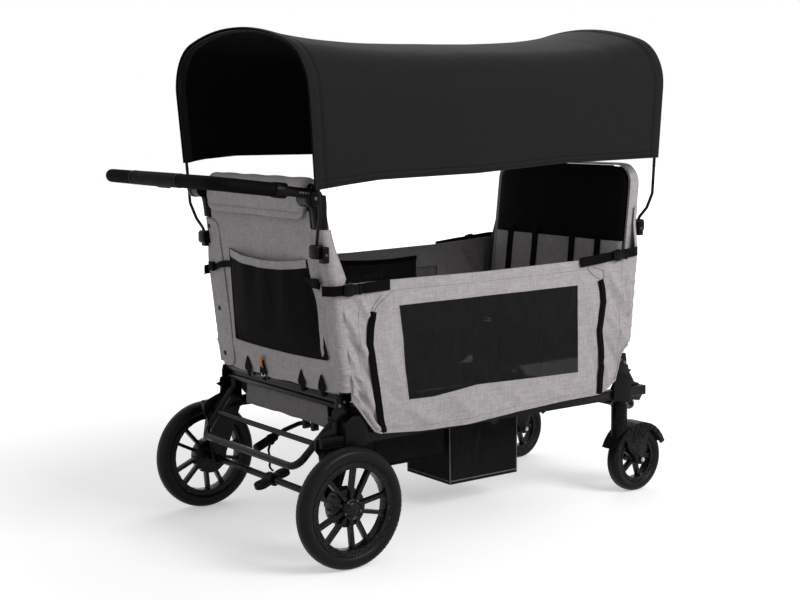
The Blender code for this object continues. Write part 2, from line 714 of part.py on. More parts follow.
def backrest(end):
    low, high = BACKREST_Z[end]
    middle = (low + high) / 2
    pad = cushion((high - low) / 2, BACKREST_HALF, BACKREST_T - 0.006, 0.006, 12, 8)
    way = ENDS[end][1]
    lean = math.atan(POST_LEAN)
    turn = Matrix.Rotation(way * (math.pi / 2 - lean), 4, "Y")
    face = post_x(middle) + (POST_R + GAP - BACKREST_EDGE) / math.cos(lean)
    pad.transform(Matrix.Translation(end_point(end, face, 0, middle)) @ turn)
    node(f"backrest_{end}", pad, "grey_cloth", smooth=60)


# Floor, benches and wells

def rail(end, side):
    """Half of a side rail: rounded at its end pin, butted at the fold line, with a half-width knuckle."""
    low_y, high_y = sorted((side * RAIL_IN, side * RAIL_OUT))
    middle_y = side * RAIL_Y
    rounded_end = arc(CORNER_AHEAD, RAIL_Z, RAIL_HEIGHT / 2, 90, 270, 8)
    butt = FOLD_REACH - GAP
    outline = rounded_end + [(butt, RAIL_LOW), (butt, RAIL_TOP)]
    shape = plate(end_outline(end, outline), low_y, high_y,
                  [(end_x(end, CORNER_AHEAD), RAIL_Z, PIN_R + RUNNING_GAP)])
    outer = end == "rear"
    edge = side * (RAIL_OUT if outer else RAIL_IN)
    inner_edge = middle_y + (edge - middle_y) * 0.04
    ear_y = sorted((inner_edge, edge))
    ear = [(FOLD_REACH - 0.022, RAIL_LOW + 0.004), (FOLD_REACH - 0.016, RAIL_LOW - 0.004)]
    ear += arc(FOLD_REACH, MID_PIN_Z, KNUCKLE_R, 200, 450, 10)
    ear += [(FOLD_REACH - 0.002, MID_PIN_Z + KNUCKLE_R), (FOLD_REACH - 0.002, RAIL_LOW + 0.004)]
    ear_plate = plate(end_outline(end, ear), *ear_y)
    shape = join(shape, ear_plate)
    if outer:
        bore = rod((MID_X, middle_y - 0.02, MID_PIN_Z), (MID_X, middle_y + 0.02, MID_PIN_Z),
                   MID_PIN_R + RUNNING_GAP)
        shape = cut(shape, bore)
    else:
        pin = rod((MID_X, side * (RAIL_IN + 0.002), MID_PIN_Z), (MID_X, side * (RAIL_OUT - 0.001), MID_PIN_Z),
                  MID_PIN_R)
        shape = join(shape, pin)
    node(f"rail_{end}_{SIDE_NAMES[side]}", shape, "black_metal",
         end_point(end, CORNER_AHEAD, side * RAIL_Y, RAIL_Z))


def floor_board(end):
    xs = span(end, FLOOR_START, FOLD_REACH - GAP)
    half = RAIL_IN - GAP
    board = box((xs[0], -half, FLOOR_Z), (xs[1], half, FLOOR_Z + FLOOR_T), 0.0015)
    well = span(end, *WELL_X[end])
    rim = WELL_T
    hole = box((well[0] + rim, -WELL_HALF + rim, FLOOR_Z - 0.01),
               (well[1] - rim, WELL_HALF - rim, FLOOR_Z + FLOOR_T + 0.01))
    shape = cut(board, hole)
    if end == "rear":
        shape = cut(join(shape, *lever_hangers()), lever_bore())
    node(f"floor_board_{end}", shape, "board", end_point(end, CORNER_AHEAD, 0, RAIL_Z))


def foot_well(end, name):
    """Mesh box hung under a floor board, open at the top, drawn in a little towards its foot."""
    x0, x1 = span(end, *WELL_X[end])
    top, bottom = FLOOR_Z - GAP, WELL_BOTTOM[end]
    outer = box((x0, -WELL_HALF, bottom), (x1, WELL_HALF, top))
    inner = box((x0 + WELL_T, -WELL_HALF + WELL_T, bottom + WELL_T), (x1 - WELL_T, WELL_HALF - WELL_T, top + 0.01))
    rim = box((x0 - WELL_RIM, -WELL_HALF - WELL_RIM, top - 0.004),
              (x1 + min(WELL_RIM, 0.002), WELL_HALF + WELL_RIM, top))
    node(name, cut(join(outer, rim), inner), "black_mesh", end_point(end, CORNER_AHEAD, 0, RAIL_Z))


def bench(end):
    """Seat board with a rounded hinge edge at the cross channel, and a two-place cushion on it."""
    radius = BENCH_T / 2
    outline = arc(BENCH_X, BENCH_Z, radius, 90, 270, 6)
    front = BENCH_X + BENCH_DEPTH
    outline += [(front, BENCH_Z - radius), (front, BENCH_Z + radius)]
    origin = end_point(end, BENCH_X, 0, BENCH_Z)
    node(f"bench_board_{end}", plate(end_outline(end, outline), -BENCH_HALF, BENCH_HALF), "board", origin)
    start = BENCH_X + 0.020
    half_x = (front - start) / 2 - 0.004
    pad = cushion(half_x, BENCH_HALF - 0.004, CUSHION_T - CUSHION_CROWN, CUSHION_CROWN)
    middle = start + (front - start) / 2
    pad.transform(Matrix.Translation(end_point(end, middle, 0, BENCH_Z + radius + GAP)))
    node(f"seat_cushion_{end}", pad, "black_cloth", origin, 60)


# Sides and canopy

def side_bottom(x):
    """Height of the side cloth's hem, cut up at both corners."""
    reach = min(x - REAR_ZERO, FRONT_ZERO - x)
    if reach > 0.130:
        return SIDE_BOTTOM
    if reach > 0.050:
        share = (0.130 - reach) / 0.080
        return SIDE_BOTTOM + (0.410 - SIDE_BOTTOM) * share ** 1.2
    return 0.410


def side_panel(side):
    """Side cloth with its two tall corner wings and the main folds at the ends, as one closed sheet."""
    stations = []
    wing_y = POST_Y + POST_R + 0.001
    for end in ("rear", "front"):
        corner = [(0.006, wing_y), (-0.002, wing_y + 0.012), (0.000, SIDE_Y - 0.002), (SIDE_WING, SIDE_Y)]
        run = [(end, d, y, SIDE_WING_TOP if d < SIDE_WING else SIDE_TOP + 0.05) for d, y in corner]
        along = [0.045, 0.075, 0.105, 0.135, 0.165, 0.21, 0.27, 0.34, 0.41]
        run += [(end, d, SIDE_Y, SIDE_TOP) for d in along]
        stations.append(run)
    path = stations[0] + [("rear", FOLD_REACH, SIDE_Y, SIDE_TOP)] + stations[1][::-1]
    outer, inner = [], []
    levels = (0.0, 0.12, 0.35, 0.6, 0.85, 1.0)
    for share in levels:
        outer_row, inner_row = [], []
        for end, d, y, top in path:
            x = end_x(end, d)
            low = side_bottom(x)
            z = low + (top - low) * share
            near_end = math.exp(-((d - 0.085) / 0.055) ** 2)
            wave = FOLD_DEPTH * math.sin((d * 70 + z * 16)) * near_end
            belly = 0.003 * math.sin(math.pi * share) if d > SIDE_WING else 0.0
            lean = -POST_LEAN * (z - CHANNEL_Z[1]) * math.exp(-max(d, 0) / 0.05)
            wx = end_x(end, d + POST_FOOT * math.exp(-max(d, 0) / 0.03) + lean)
            wy = y + wave + belly
            outer_row.append(Vector((wx, side * wy, z)))
            inner_row.append(Vector((wx, side * wy, z)))
        outer.append(outer_row)
        inner.append(inner_row)
    thick_out, thick_in = [], []
    for row in outer:
        out_row, in_row = [], []
        for j, point in enumerate(row):
            before, after = row[max(j - 1, 0)], row[min(j + 1, len(row) - 1)]
            along = (after - before).normalized()
            normal = Vector((along.y, -along.x, 0)).normalized() * side * -1
            out_row.append(point + normal * SIDE_T / 2)
            in_row.append(point - normal * SIDE_T / 2)
        thick_out.append(out_row)
        thick_in.append(in_row)
    node(f"side_panel_{SIDE_NAMES[side]}", sheet(thick_out, thick_in), "grey_cloth", smooth=60)


def hem_height(side, share):
    spots = CANOPY_HEM[side]
    share = min(max(share, 0.0), 1.0)
    for (s0, z0), (s1, z1) in zip(spots, spots[1:]):
        if share <= s1:
            return z0 + (z1 - z0) * (share - s0) / (s1 - s0)
    return spots[-1][1]


def canopy():
    """One curved sheet over both arches, sagging between them."""
    stations = []
    rear, front = arch_half("rear")[4:], arch_half("front")[4:]
    floor_z, top_z = CANOPY_HEM_Z["front"], ARCH_TOP["rear"]
    for share in (-0.009, 0.0, 0.05, 0.14, 0.28, 0.43, 0.58, 0.72, 0.86, 0.95, 1.0, 1.009):
        hold = min(max(share, 0.0), 1.0)
        dip = 1 - abs(2 * hold - 1) ** 3.2
        row = []
        for (rd, ry, rz), (fd, fy, fz) in zip(rear, front):
            x = end_x("rear", rd) + (end_x("front", fd) - end_x("rear", rd)) * share
            y = ry + (fy - ry) * hold - 0.006 * dip
            z = rz + (fz - rz) * hold
            z -= CANOPY_SAG * dip * max(0.0, (z - floor_z) / (top_z - floor_z)) ** 2
            row.append(Vector((x, y, z)))
        near = [Vector((p.x, -p.y, p.z)) for p in row]
        near[0].z, row[0].z = hem_height(RIGHT, share), hem_height(LEFT, share)
        stations.append(near + row[-2::-1])
    clearance = ARCH_R + 0.0006
    rows_out, rows_in = [], []
    for loop in stations:
        out_row, in_row = [], []
        for j, point in enumerate(loop):
            before, after = loop[max(j - 1, 0)], loop[min(j + 1, len(loop) - 1)]
            along = after - before
            normal = Vector((0, -along.z, along.y)).normalized()
            in_row.append(point + normal * clearance)
            out_row.append(point + normal * (clearance + CANOPY_T))
        rows_out.append(out_row)
        rows_in.append(in_row)
    node("canopy_sheet", sheet(rows_out, rows_in), "black_cloth", smooth=60)


# Wheels

def rear_wheel(side):
    name = SIDE_NAMES[side]
    centre = (AXLE_X, side * REAR_TRACK / 2, REAR_TYRE_R)
    w, r, seat = REAR_TYRE_WIDTH / 2, REAR_TYRE_R, REAR_RIM_R + GAP
    flank = REAR_RIM_WIDTH / 2
    profile = [(seat, flank), (r - 0.017, w), (r - 0.006, w * 0.80), (r, w * 0.38),
               (r, -w * 0.38), (r - 0.006, -w * 0.80), (r - 0.017, -w), (seat, -flank)]
    node(f"tyre_rear_{name}", turned(profile, WHEEL_STEPS, centre), "tyre", centre)
    band, half = REAR_RIM_R - REAR_RIM_BAND, REAR_RIM_WIDTH / 2
    shape = turned([(band, half), (REAR_RIM_R, half), (REAR_RIM_R, -half), (band, -half)],
                   WHEEL_STEPS, centre)
    spokes = []
    for pair in range(SPOKE_PAIRS):
        for lean in (-0.5, 0.5):
            base = math.radians(70) + 2 * math.pi * pair / SPOKE_PAIRS
            tip = base + lean * SPOKE_SPREAD
            root = base + lean * SPOKE_SPREAD * 1.6
            spokes.append(spoke(centre, root, tip, REAR_HUB_R - 0.006, band + 0.003, SPOKE_WIDTH, SPOKE_DEPTH))
    out = side * REAR_HUB_OUT
    inner = -side * (half + 0.001)
    y = centre[1]
    hub = rod((centre[0], y + inner, centre[2]), (centre[0], y + out, centre[2]), REAR_HUB_R, 20)
    drum_start = -side * (half + DRUM_WIDTH)
    drum = rod((centre[0], y + drum_start, centre[2]), (centre[0], y - side * 0.004, centre[2]), DRUM_R, 24)
    shape = join(shape, *spokes, hub, drum)
    bore = rod((centre[0], y + drum_start * 1.2, centre[2]), (centre[0], y + out - side * 0.0045, centre[2]),
               AXLE_R + RUNNING_GAP)
    node(f"rim_rear_{name}", cut(shape, bore), "black_plastic", centre)


def spoke(centre, root_angle, tip_angle, root_r, tip_r, width, depth):
    """A straight bar in a wheel's plane from near the hub to its band."""
    start = Vector((root_r * math.cos(root_angle), 0, root_r * math.sin(root_angle)))
    end = Vector((tip_r * math.cos(tip_angle), 0, tip_r * math.sin(tip_angle)))
    run = end - start
    bm = bmesh.new()
    bmesh.ops.create_cube(bm, size=1.0)
    bmesh.ops.scale(bm, vec=(run.length, depth, width), verts=bm.verts)
    turn = Matrix.Rotation(-math.atan2(run.z, run.x), 4, "Y")
    place = Matrix.Translation(Vector(centre) + (start + end) / 2)
    bmesh.ops.transform(bm, matrix=place @ turn, verts=bm.verts)
    return mesh_from(bm)


def axle():
    reach = REAR_TRACK / 2 + REAR_HUB_OUT - 0.005
    shape = rod((AXLE_X, -reach, REAR_TYRE_R), (AXLE_X, reach, REAR_TYRE_R), AXLE_R)
    node("rear_axle", shape, "black_metal")


def caster(side):
    """Housing on the front end, fork with mudguard and bolt, and the caster's rim and tyre."""
    name = SIDE_NAMES[side]
    stem = Vector((AXLE_X + CASTER_AHEAD, side * CASTER_TRACK / 2, 0))
    neck = [(STEM_R + RUNNING_GAP, HOUSING_TOP - 0.012), (0.0, HOUSING_TOP - 0.012), (0.0, HOUSING_TOP),
            (HOUSING_NECK_R, HOUSING_TOP), (HOUSING_R, HOUSING_SHOULDER), (HOUSING_R, HOUSING_BOTTOM),
            (STEM_R + RUNNING_GAP, HOUSING_BOTTOM)]
    housing = turned(neck, 20, (stem.x, stem.y, 0), "Z")
    block_y = sorted((side * (CASTER_TRACK / 2 - 0.008), side * (PLATE_IN - GAP)))
    block = box((stem.x - 0.024, block_y[0], HOUSING_TOP - 0.008), (stem.x + 0.020, block_y[1], RAIL_Z + 0.006), 0.002)
    node(f"caster_housing_{name}", join(housing, block), "black_plastic")

    wheel = Vector((CASTER_TRAIL, 0, CASTER_TYRE_R))
    half = FORK_HALF_WIDTH
    crown_low, crown_high = CASTER_TYRE_R + 0.060, HOUSING_BOTTOM - GAP
    crown = rod((0, 0, crown_low), (0, 0, crown_high), HOUSING_R, 18)
    boss = (wheel.x, wheel.z, 0.015)
    outline = arc(wheel.x, wheel.z, GUARD_R, GUARD_FRONT, GUARD_REAR, 12)
    outline += arc(wheel.x, wheel.z, GUARD_SKIRT_R, GUARD_REAR, 134, 2) + arc(*boss, 205, 335, 5)
    outline += arc(wheel.x, wheel.z, GUARD_SKIRT_R, 68, GUARD_FRONT, 4)
    guard = plate(outline, -half, half)
    room_r, room_half = CASTER_TYRE_R + WHEEL_ROOM, half - FORK_LEG_T
    room = rod((wheel.x, -room_half, wheel.z), (wheel.x, room_half, wheel.z), room_r, 32)
    stem_pin = rod((0, 0, crown_high - 0.004), (0, 0, crown_high + STEM_RISE), STEM_R)
    bolt = rod((wheel.x, -half - 0.003, wheel.z), (wheel.x, half + 0.003, wheel.z), CASTER_BOLT_R, 10)
    fork = join(cut(join(crown, guard), room), stem_pin, bolt)
    turn = Matrix.Translation(stem) @ Matrix.Rotation(CASTER_YAW[side], 4, "Z")
    fork.transform(turn)
    node(f"caster_fork_{name}", fork, "black_plastic", stem)

    w, r, seat = CASTER_TYRE_WIDTH / 2, CASTER_TYRE_R, CASTER_RIM_R + GAP
    hw = CASTER_RIM_WIDTH / 2
    profile = [(seat, hw), (r - 0.010, w), (r - 0.003, w * 0.72), (r, w * 0.3), (r, -w * 0.3),
               (r - 0.003, -w * 0.72), (r - 0.010, -w), (seat, -hw)]
    tyre = turned(profile, CASTER_STEPS, wheel)
    tyre.transform(turn)
    centre = turn @ wheel
    node(f"caster_tyre_{name}", tyre, "tyre", centre)
    band = CASTER_RIM_R - CASTER_RIM_BAND
    shape = turned([(band, hw), (CASTER_RIM_R, hw), (CASTER_RIM_R, -hw), (band, -hw)], CASTER_STEPS, wheel)
    spokes = [spoke(wheel, angle, angle, CASTER_HUB_R - 0.004, band + 0.003, 0.010, 0.014)
              for angle in (2 * math.pi * i / CASTER_SPOKES for i in range(CASTER_SPOKES))]
    hub = rod((wheel.x, -CASTER_HUB_WIDTH / 2, wheel.z), (wheel.x, CASTER_HUB_WIDTH / 2, wheel.z), CASTER_HUB_R)
    bore = rod((wheel.x, -0.03, wheel.z), (wheel.x, 0.03, wheel.z), CASTER_BOLT_R + RUNNING_GAP, 10)
    rim = cut(join(shape, *spokes, hub), bore)
    rim.transform(turn)
    node(f"caster_rim_{name}", rim, "black_plastic", centre)


# Handle, pedal and lever

def handle_line(distance, y, lift=HANDLE_LIFT):
    """Point on the handle's sloping tubes, a distance back from the pivot."""
    x = end_x("rear", PIVOT_X)
    slope = math.atan(HANDLE_RISE)
    return (x - distance * math.cos(slope) + lift * math.sin(slope), y,
            PIVOT_Z + distance * math.sin(slope) + lift * math.cos(slope))


def handle_tube(side):
    y = side * HANDLE_Y
    pivot = end_point("rear", PIVOT_X, y, PIVOT_Z)
    hub = rod((pivot[0], y - HUB_T / 2, pivot[2]), (pivot[0], y + HUB_T / 2, pivot[2]), HUB_R, 20)
    run = rod(handle_line(0.0, y), handle_line(INNER_END, y), INNER_R, 14)
    sides = [box((pivot[0] - 0.03, low, pivot[2] - 0.03), (pivot[0] + 0.03, low + 0.02, pivot[2] + 0.04))
             for low in (y - HUB_T / 2 - 0.02, y + HUB_T / 2)]
    hole = rod((pivot[0], y - 0.02, pivot[2]), (pivot[0], y + 0.02, pivot[2]), PIVOT_R + RUNNING_GAP)
    shape = cut(join(hub, run), *sides, hole)
    node(f"handle_tube_{SIDE_NAMES[side]}", shape, "black_metal", pivot)


def handle_bar():
    route = [handle_line(OUTER_START, -HANDLE_Y), handle_line(OUTER_END, -HANDLE_Y),
             handle_line(OUTER_END, HANDLE_Y), handle_line(OUTER_START, HANDLE_Y)]
    shape = tube(rounded(route, HANDLE_BEND_R), OUTER_R, 3)
    collars = []
    bores = []
    for side in (LEFT, RIGHT):
        y = side * HANDLE_Y
        collars.append(rod(handle_line(OUTER_START - 0.002, y), handle_line(OUTER_START + COLLAR_LENGTH, y),
                           COLLAR_R, 16))
        bores.append(rod(handle_line(OUTER_START - 0.01, y), handle_line(BORE_END, y), INNER_R + RUNNING_GAP, 14))
    shape = cut(join(shape, *collars), *bores)
    node("handle_bar", shape, "black_metal", handle_line(OUTER_START, 0))
    centre = handle_line(OUTER_END, 0)
    skin = OUTER_R + GAP
    edge = GRIP_R - 0.0008
    grip = turned([(skin, GRIP_HALF), (edge, GRIP_HALF), (GRIP_R, GRIP_HALF - 0.003),
                   (GRIP_R, -GRIP_HALF + 0.003), (edge, -GRIP_HALF), (skin, -GRIP_HALF)], 20, centre)
    node("handle_grip", grip, "foam", centre)


def brake_pedal():
    """Bone-shaped treadle that tips on the rear axle."""
    tilt = math.radians(-18)
    waist, end_r = PEDAL_WIDTH * 0.36, PEDAL_WIDTH / 2
    reach = PEDAL_LENGTH / 2 - end_r
    bm = bmesh.new()
    outline = []
    for centre, start in ((reach, -80), (-reach, 100)):
        for i in range(7):
            angle = math.radians(start + 160 * i / 6)
            outline.append((centre + end_r * math.cos(angle), end_r * math.sin(angle)))
        outline.append((0.0, math.copysign(waist, reach if centre > 0 else -reach)))
    face = bm.faces.new([bm.verts.new((x, y, -PEDAL_T / 2)) for x, y in outline])
    grown = bmesh.ops.extrude_face_region(bm, geom=[face])
    bmesh.ops.translate(bm, vec=(0, 0, PEDAL_T), verts=[v for v in grown["geom"] if isinstance(v, bmesh.types.BMVert)])
    treadle = mesh_from(bm)
    treadle.transform(Matrix.Translation((AXLE_X, 0, REAR_TYRE_R)) @ Matrix.Rotation(tilt, 4, "Y"))
    boss = rod((AXLE_X, -0.016, REAR_TYRE_R), (AXLE_X, 0.016, REAR_TYRE_R), PEDAL_BOSS_R)
    bore = rod((AXLE_X, -0.05, REAR_TYRE_R), (AXLE_X, 0.05, REAR_TYRE_R), AXLE_R + RUNNING_GAP)
    node("brake_pedal", cut(join(treadle, boss), bore), "black_plastic", (AXLE_X, 0, REAR_TYRE_R))


def lever_hangers():
    """Two lugs under the rear floor board that carry the fold lever."""
    x = end_x("rear", LEVER_X)
    reach = LEVER_R + 0.004
    return [box((x - reach, y - 0.005, LEVER_Z - reach), (x + reach, y + 0.005, FLOOR_Z + 0.002), 0.001)
            for y in LEVER_LUGS]


def lever_bore():
    x = end_x("rear", LEVER_X)
    return rod((x, LEVER_LUGS[0] - 0.02, LEVER_Z), (x, LEVER_LUGS[1] + 0.008, LEVER_Z), LEVER_R + RUNNING_GAP)


def fold_lever():
    """Bent rod under the rear floor board, with a ribbed grip that the hand pulls."""
    x, z = end_x("rear", LEVER_X), LEVER_Z
    y = 0.030
    route = rounded([(x, -0.045, z), (x, y, z), (x - LEVER_REACH * 0.6, y + 0.010, z - LEVER_DROP * 0.5),
                     (x - LEVER_REACH, y + 0.014, z - LEVER_DROP)], 0.012, 3)
    grip_end = Vector(route[-1])
    run = Vector(LEVER_GRIP_RUN)
    grip = rod(grip_end - run * 0.08, grip_end + run, LEVER_GRIP_R, 12)
    node("fold_lever", join(tube(route, LEVER_R), grip), "black_plastic", (x, 0, z))


axle()
brake_pedal()
for end_name in ENDS:
    for side_sign in (LEFT, RIGHT):
        side_plate(end_name, side_sign)
        corner_bracket(end_name, side_sign)
        clip(end_name, side_sign)
        rail(end_name, side_sign)
    cross_channel(end_name)
    bumper(end_name)
    post_frame(end_name)
    canopy_arch(end_name)
    end_panel(end_name)
    backrest(end_name)
    floor_board(end_name)
    bench(end_name)
apron()
top_roll("rear")
foot_well("rear", "storage_well_rear")
foot_well("front", "foot_well_front")
for side_sign in (LEFT, RIGHT):
    rear_wheel(side_sign)
    caster(side_sign)
    handle_tube(side_sign)
    side_panel(side_sign)
handle_bar()
canopy()
fold_lever()
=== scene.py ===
# Four-seat stroller wagon: finishes, cloth, padding and small parts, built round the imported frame.
import json
from math import acos, atan, atan2, copysign, cos, exp, hypot, pi, radians, sin, sqrt, tan, tau

import bmesh
import bpy
import numpy as np
from mathutils import Matrix, Vector, noise


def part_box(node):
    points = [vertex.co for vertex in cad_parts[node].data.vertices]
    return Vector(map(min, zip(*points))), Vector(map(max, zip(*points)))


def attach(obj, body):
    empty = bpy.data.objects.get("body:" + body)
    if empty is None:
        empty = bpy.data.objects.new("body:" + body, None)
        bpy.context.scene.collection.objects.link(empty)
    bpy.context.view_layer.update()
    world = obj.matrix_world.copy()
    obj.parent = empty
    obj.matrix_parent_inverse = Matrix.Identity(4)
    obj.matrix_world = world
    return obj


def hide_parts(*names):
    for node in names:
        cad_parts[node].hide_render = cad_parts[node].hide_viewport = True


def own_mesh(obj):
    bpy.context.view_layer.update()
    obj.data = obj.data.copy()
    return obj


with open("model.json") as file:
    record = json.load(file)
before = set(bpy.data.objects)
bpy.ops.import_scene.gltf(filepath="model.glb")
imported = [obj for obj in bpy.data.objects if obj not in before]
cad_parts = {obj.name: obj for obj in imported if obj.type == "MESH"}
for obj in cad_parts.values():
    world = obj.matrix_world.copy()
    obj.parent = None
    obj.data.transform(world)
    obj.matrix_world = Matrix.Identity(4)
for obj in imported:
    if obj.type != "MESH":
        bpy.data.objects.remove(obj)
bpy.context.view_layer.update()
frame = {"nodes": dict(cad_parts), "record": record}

# places that several pieces share, in metres; distances run inwards from each end's zero line
wagon = {
    "rearZero": -0.4049, "frontZero": 0.5831, "axleX": -0.4104, "axleZ": 0.146, "postR": 0.0125,
    "postFoot": 0.035, "postLean": 0.1155, "leanStart": 0.414, "postTop": 0.899, "channelTop": 0.402,
}
left, right = 1, -1
sideWord = {left: "left", right: "right"}
allSides = (left, right)
outwards = {left: Matrix.Identity(4), right: Matrix.Rotation(pi, 4, "X")}  # turns a left piece to its side
bothEnds = (("rear", "rear_end"), ("front", "front_end"))


def endX(end, distance):
    return wagon["rearZero"] + distance if end == "rear" else wagon["frontZero"] - distance


def endPoint(end, distance, y, z):
    return Vector((endX(end, distance), y, z))


def postLine(z):
    # distance of the leaning posts' axis at a height
    return wagon["postFoot"] - wagon["postLean"] * (max(z, wagon["leanStart"]) - wagon["channelTop"])


def mix(a, b, share):
    return a + (b - a) * share


def ease(share):
    share = min(max(share, 0.0), 1.0)
    return share * share * (3 - 2 * share)


def ripple(x, y, z):
    return noise.noise(Vector((x, y, z)))


def along(spots, at):
    # straight-line reading between (place, value) pairs
    if at <= spots[0][0]:
        return spots[0][1]
    for (a, va), (b, vb) in zip(spots, spots[1:]):
        if at <= b:
            return mix(va, vb, (at - a) / (b - a))
    return spots[-1][1]


def smoothRun(points, steps=6):
    # a rounded route through points
    pts = [Vector(p) for p in points]
    ends = [pts[0] * 2 - pts[1]] + pts + [pts[-1] * 2 - pts[-2]]
    run = []
    for a, b, c, d in zip(ends, ends[1:], ends[2:], ends[3:]):
        for i in range(steps):
            t = i / steps
            run.append(0.5 * ((2 * b) + (c - a) * t + (2 * a - 5 * b + 4 * c - d) * t * t
                              + (3 * b - a - 3 * c + d) * t ** 3))
    run.append(pts[-1])
    return run


def bentRun(points, radius, steps=8):
    # straight runs with round bends
    pts = [Vector(p) for p in points]
    run = [pts[0]]
    for before, corner, after in zip(pts, pts[1:], pts[2:]):
        back, on = (before - corner).normalized(), (after - corner).normalized()
        half = back.angle(on) / 2
        reach = radius / tan(half)
        centre = corner + (back + on).normalized() * (radius / sin(half))
        first, last = corner + back * reach - centre, corner + on * reach - centre
        turned = first.angle(last)
        for i in range(steps + 1):
            t = i / steps
            run.append(centre + (sin((1 - t) * turned) * first + sin(t * turned) * last) / sin(turned))
    run.append(pts[-1])
    return run


def added(name, data):
    # a new object in the scene
    thing = bpy.data.objects.new(name, data)
    bpy.context.scene.collection.objects.link(thing)
    return thing


def meshObject(name, verts, faces, uvs=None):
    mesh = bpy.data.meshes.new(name)
    mesh.from_pydata([tuple(v) for v in verts], [], faces)
    if uvs:
        layer = mesh.uv_layers.new(name="UVMap")
        for loop in mesh.loops:
            layer.data[loop.index].uv = uvs[loop.vertex_index]
    return added(name, mesh)


def fromBmesh(name, bm):
    mesh = bpy.data.meshes.new(name)
    bmesh.ops.recalc_face_normals(bm, faces=bm.faces)
    bm.to_mesh(mesh)
    bm.free()
    return added(name, mesh)


def faceOut(thing, merge=0.0):
    bm = bmesh.new()
    bm.from_mesh(thing.data)
    if merge:
        bmesh.ops.remove_doubles(bm, verts=bm.verts, dist=merge)
    bmesh.ops.recalc_face_normals(bm, faces=bm.faces)
    bm.to_mesh(thing.data)
    bm.free()
    return thing


def moved(thing, place, turn=None):
    if turn is not None:
        thing.data.transform(turn)
    thing.data.transform(Matrix.Translation(Vector(place)))
    return thing


def gridSheet(name, rows, keep=None, flip=False):
    # an open sheet through a grid of points, its UVs in metres along the cloth
    wide = len(rows[0])
    verts, uvs = [], []
    down = [0.0] * wide
    for i, row in enumerate(rows):
        across = 0.0
        for j, point in enumerate(row):
            if j:
                across += (row[j] - row[j - 1]).length
            if i:
                down[j] += (point - rows[i - 1][j]).length
            verts.append(point)
            uvs.append((across, down[j]))
    faces = []
    for i in range(len(rows) - 1):
        for j in range(wide - 1):
            if keep is None or keep(i, j):
                a = i * wide + j
                face = (a, a + 1, a + wide + 1, a + wide)
                faces.append(face[::-1] if flip else face)
    sheet = meshObject(name, verts, faces, uvs)
    if keep is not None:
        bm = bmesh.new()
        bm.from_mesh(sheet.data)
        bmesh.ops.delete(bm, geom=[v for v in bm.verts if not v.link_faces], context="VERTS")
        bm.to_mesh(sheet.data)
        bm.free()
    return sheet


def loopFaces(loops, round):
    # quads between closed loops of points that follow each other
    return [(i * round + k, i * round + (k + 1) % round, j * round + (k + 1) % round, j * round + k)
            for i, j in loops for k in range(round)]


def padFaces(rows, columns):
    # a closed pad from two grids of points, with a rim between them
    wide, half = columns + 1, (rows + 1) * (columns + 1)
    faces = []
    for i in range(rows):
        for j in range(columns):
            a = i * wide + j
            faces.append((a, a + 1, a + wide + 1, a + wide))
            faces.append((half + a, half + a + wide, half + a + wide + 1, half + a + 1))
    rim = list(range(wide)) + [i * wide + columns for i in range(1, rows + 1)]
    rim += [rows * wide + j for j in range(columns - 1, -1, -1)] + [i * wide for i in range(rows - 1, 0, -1)]
    return faces + [(a, half + a, half + b, b) for a, b in zip(rim, rim[1:] + rim[:1])]


def sweep(name, points, radius=0, sides=16, closed=False, flat=None, up=None):
    # a tube, or a flat strip with flat=(width, thickness), along a route
    pts = [Vector(p) for p in points]
    count = len(pts)
    radii = radius if isinstance(radius, (list, tuple)) else [radius] * count
    tangents = []
    for i in range(count):
        before = pts[i - 1] if i or closed else pts[0]
        after = pts[(i + 1) % count] if i < count - 1 or closed else pts[-1]
        tangents.append((after - before).normalized())
    first = Vector(up) if up is not None else Vector((0, 0, 1))
    if abs(first.dot(tangents[0])) > 0.95 and up is None:
        first = Vector((0, 1, 0))
    normal = (first - tangents[0] * first.dot(tangents[0])).normalized()
    if flat:
        w, t = flat[0] / 2, flat[1] / 2
        e = min(t * 0.8, w * 0.3)
        shape = [(w, e - t), (w, t - e), (w - e, t), (e - w, t), (-w, t - e), (-w, e - t), (e - w, -t),
                 (w - e, -t)]
    else:
        shape = [(cos(2 * pi * k / sides), sin(2 * pi * k / sides)) for k in range(sides)]
    rounds = len(shape)
    verts, uvs, length = [], [], 0.0
    for i, point in enumerate(pts):
        if i:
            length += (point - pts[i - 1]).length
            if up is not None:
                normal = Vector(up)
            normal = (normal - tangents[i] * normal.dot(tangents[i])).normalized()
        side = tangents[i].cross(normal).normalized()
        scale = 1.0 if flat else radii[i]
        for k, (a, b) in enumerate(shape):
            verts.append(point + side * a * scale + normal * b * scale)
            uvs.append((a if flat else 2 * pi * radii[i] * k / rounds, length))
    faces = loopFaces([(i, (i + 1) % count) for i in range(count if closed else count - 1)], rounds)
    if not closed:
        faces.append(tuple(range(rounds))[::-1])
        faces.append(tuple((count - 1) * rounds + k for k in range(rounds)))
    return faceOut(meshObject(name, verts, faces, uvs))


def spun(name, profile, steps, centre=(0, 0, 0), turn=None, closed=True):
    # revolves a (radius, height) profile round the Y axis through a centre
    count = len(profile)
    angles = [2 * pi * i / steps for i in range(steps)]
    verts = [Vector((radius * cos(angle), height, radius * sin(angle))) for angle in angles
             for radius, height in profile]
    faces = [(i * count + k, i * count + (k + 1) % count, (i + 1) % steps * count + (k + 1) % count,
              (i + 1) % steps * count + k) for i in range(steps) for k in range(count if closed else count - 1)]
    return faceOut(moved(meshObject(name, verts, faces), centre, turn), 0.00002)


def domed(name, radius, height, steps, centre, side):
    # a domed bolt or pin head that looks outwards
    profile = [(0.0, height), (radius * 0.62, height), (radius * 0.9, height * 0.72), (radius, height * 0.3),
               (radius, 0.0)]
    return spun(name, profile, steps, centre, outwards[side], closed=False)


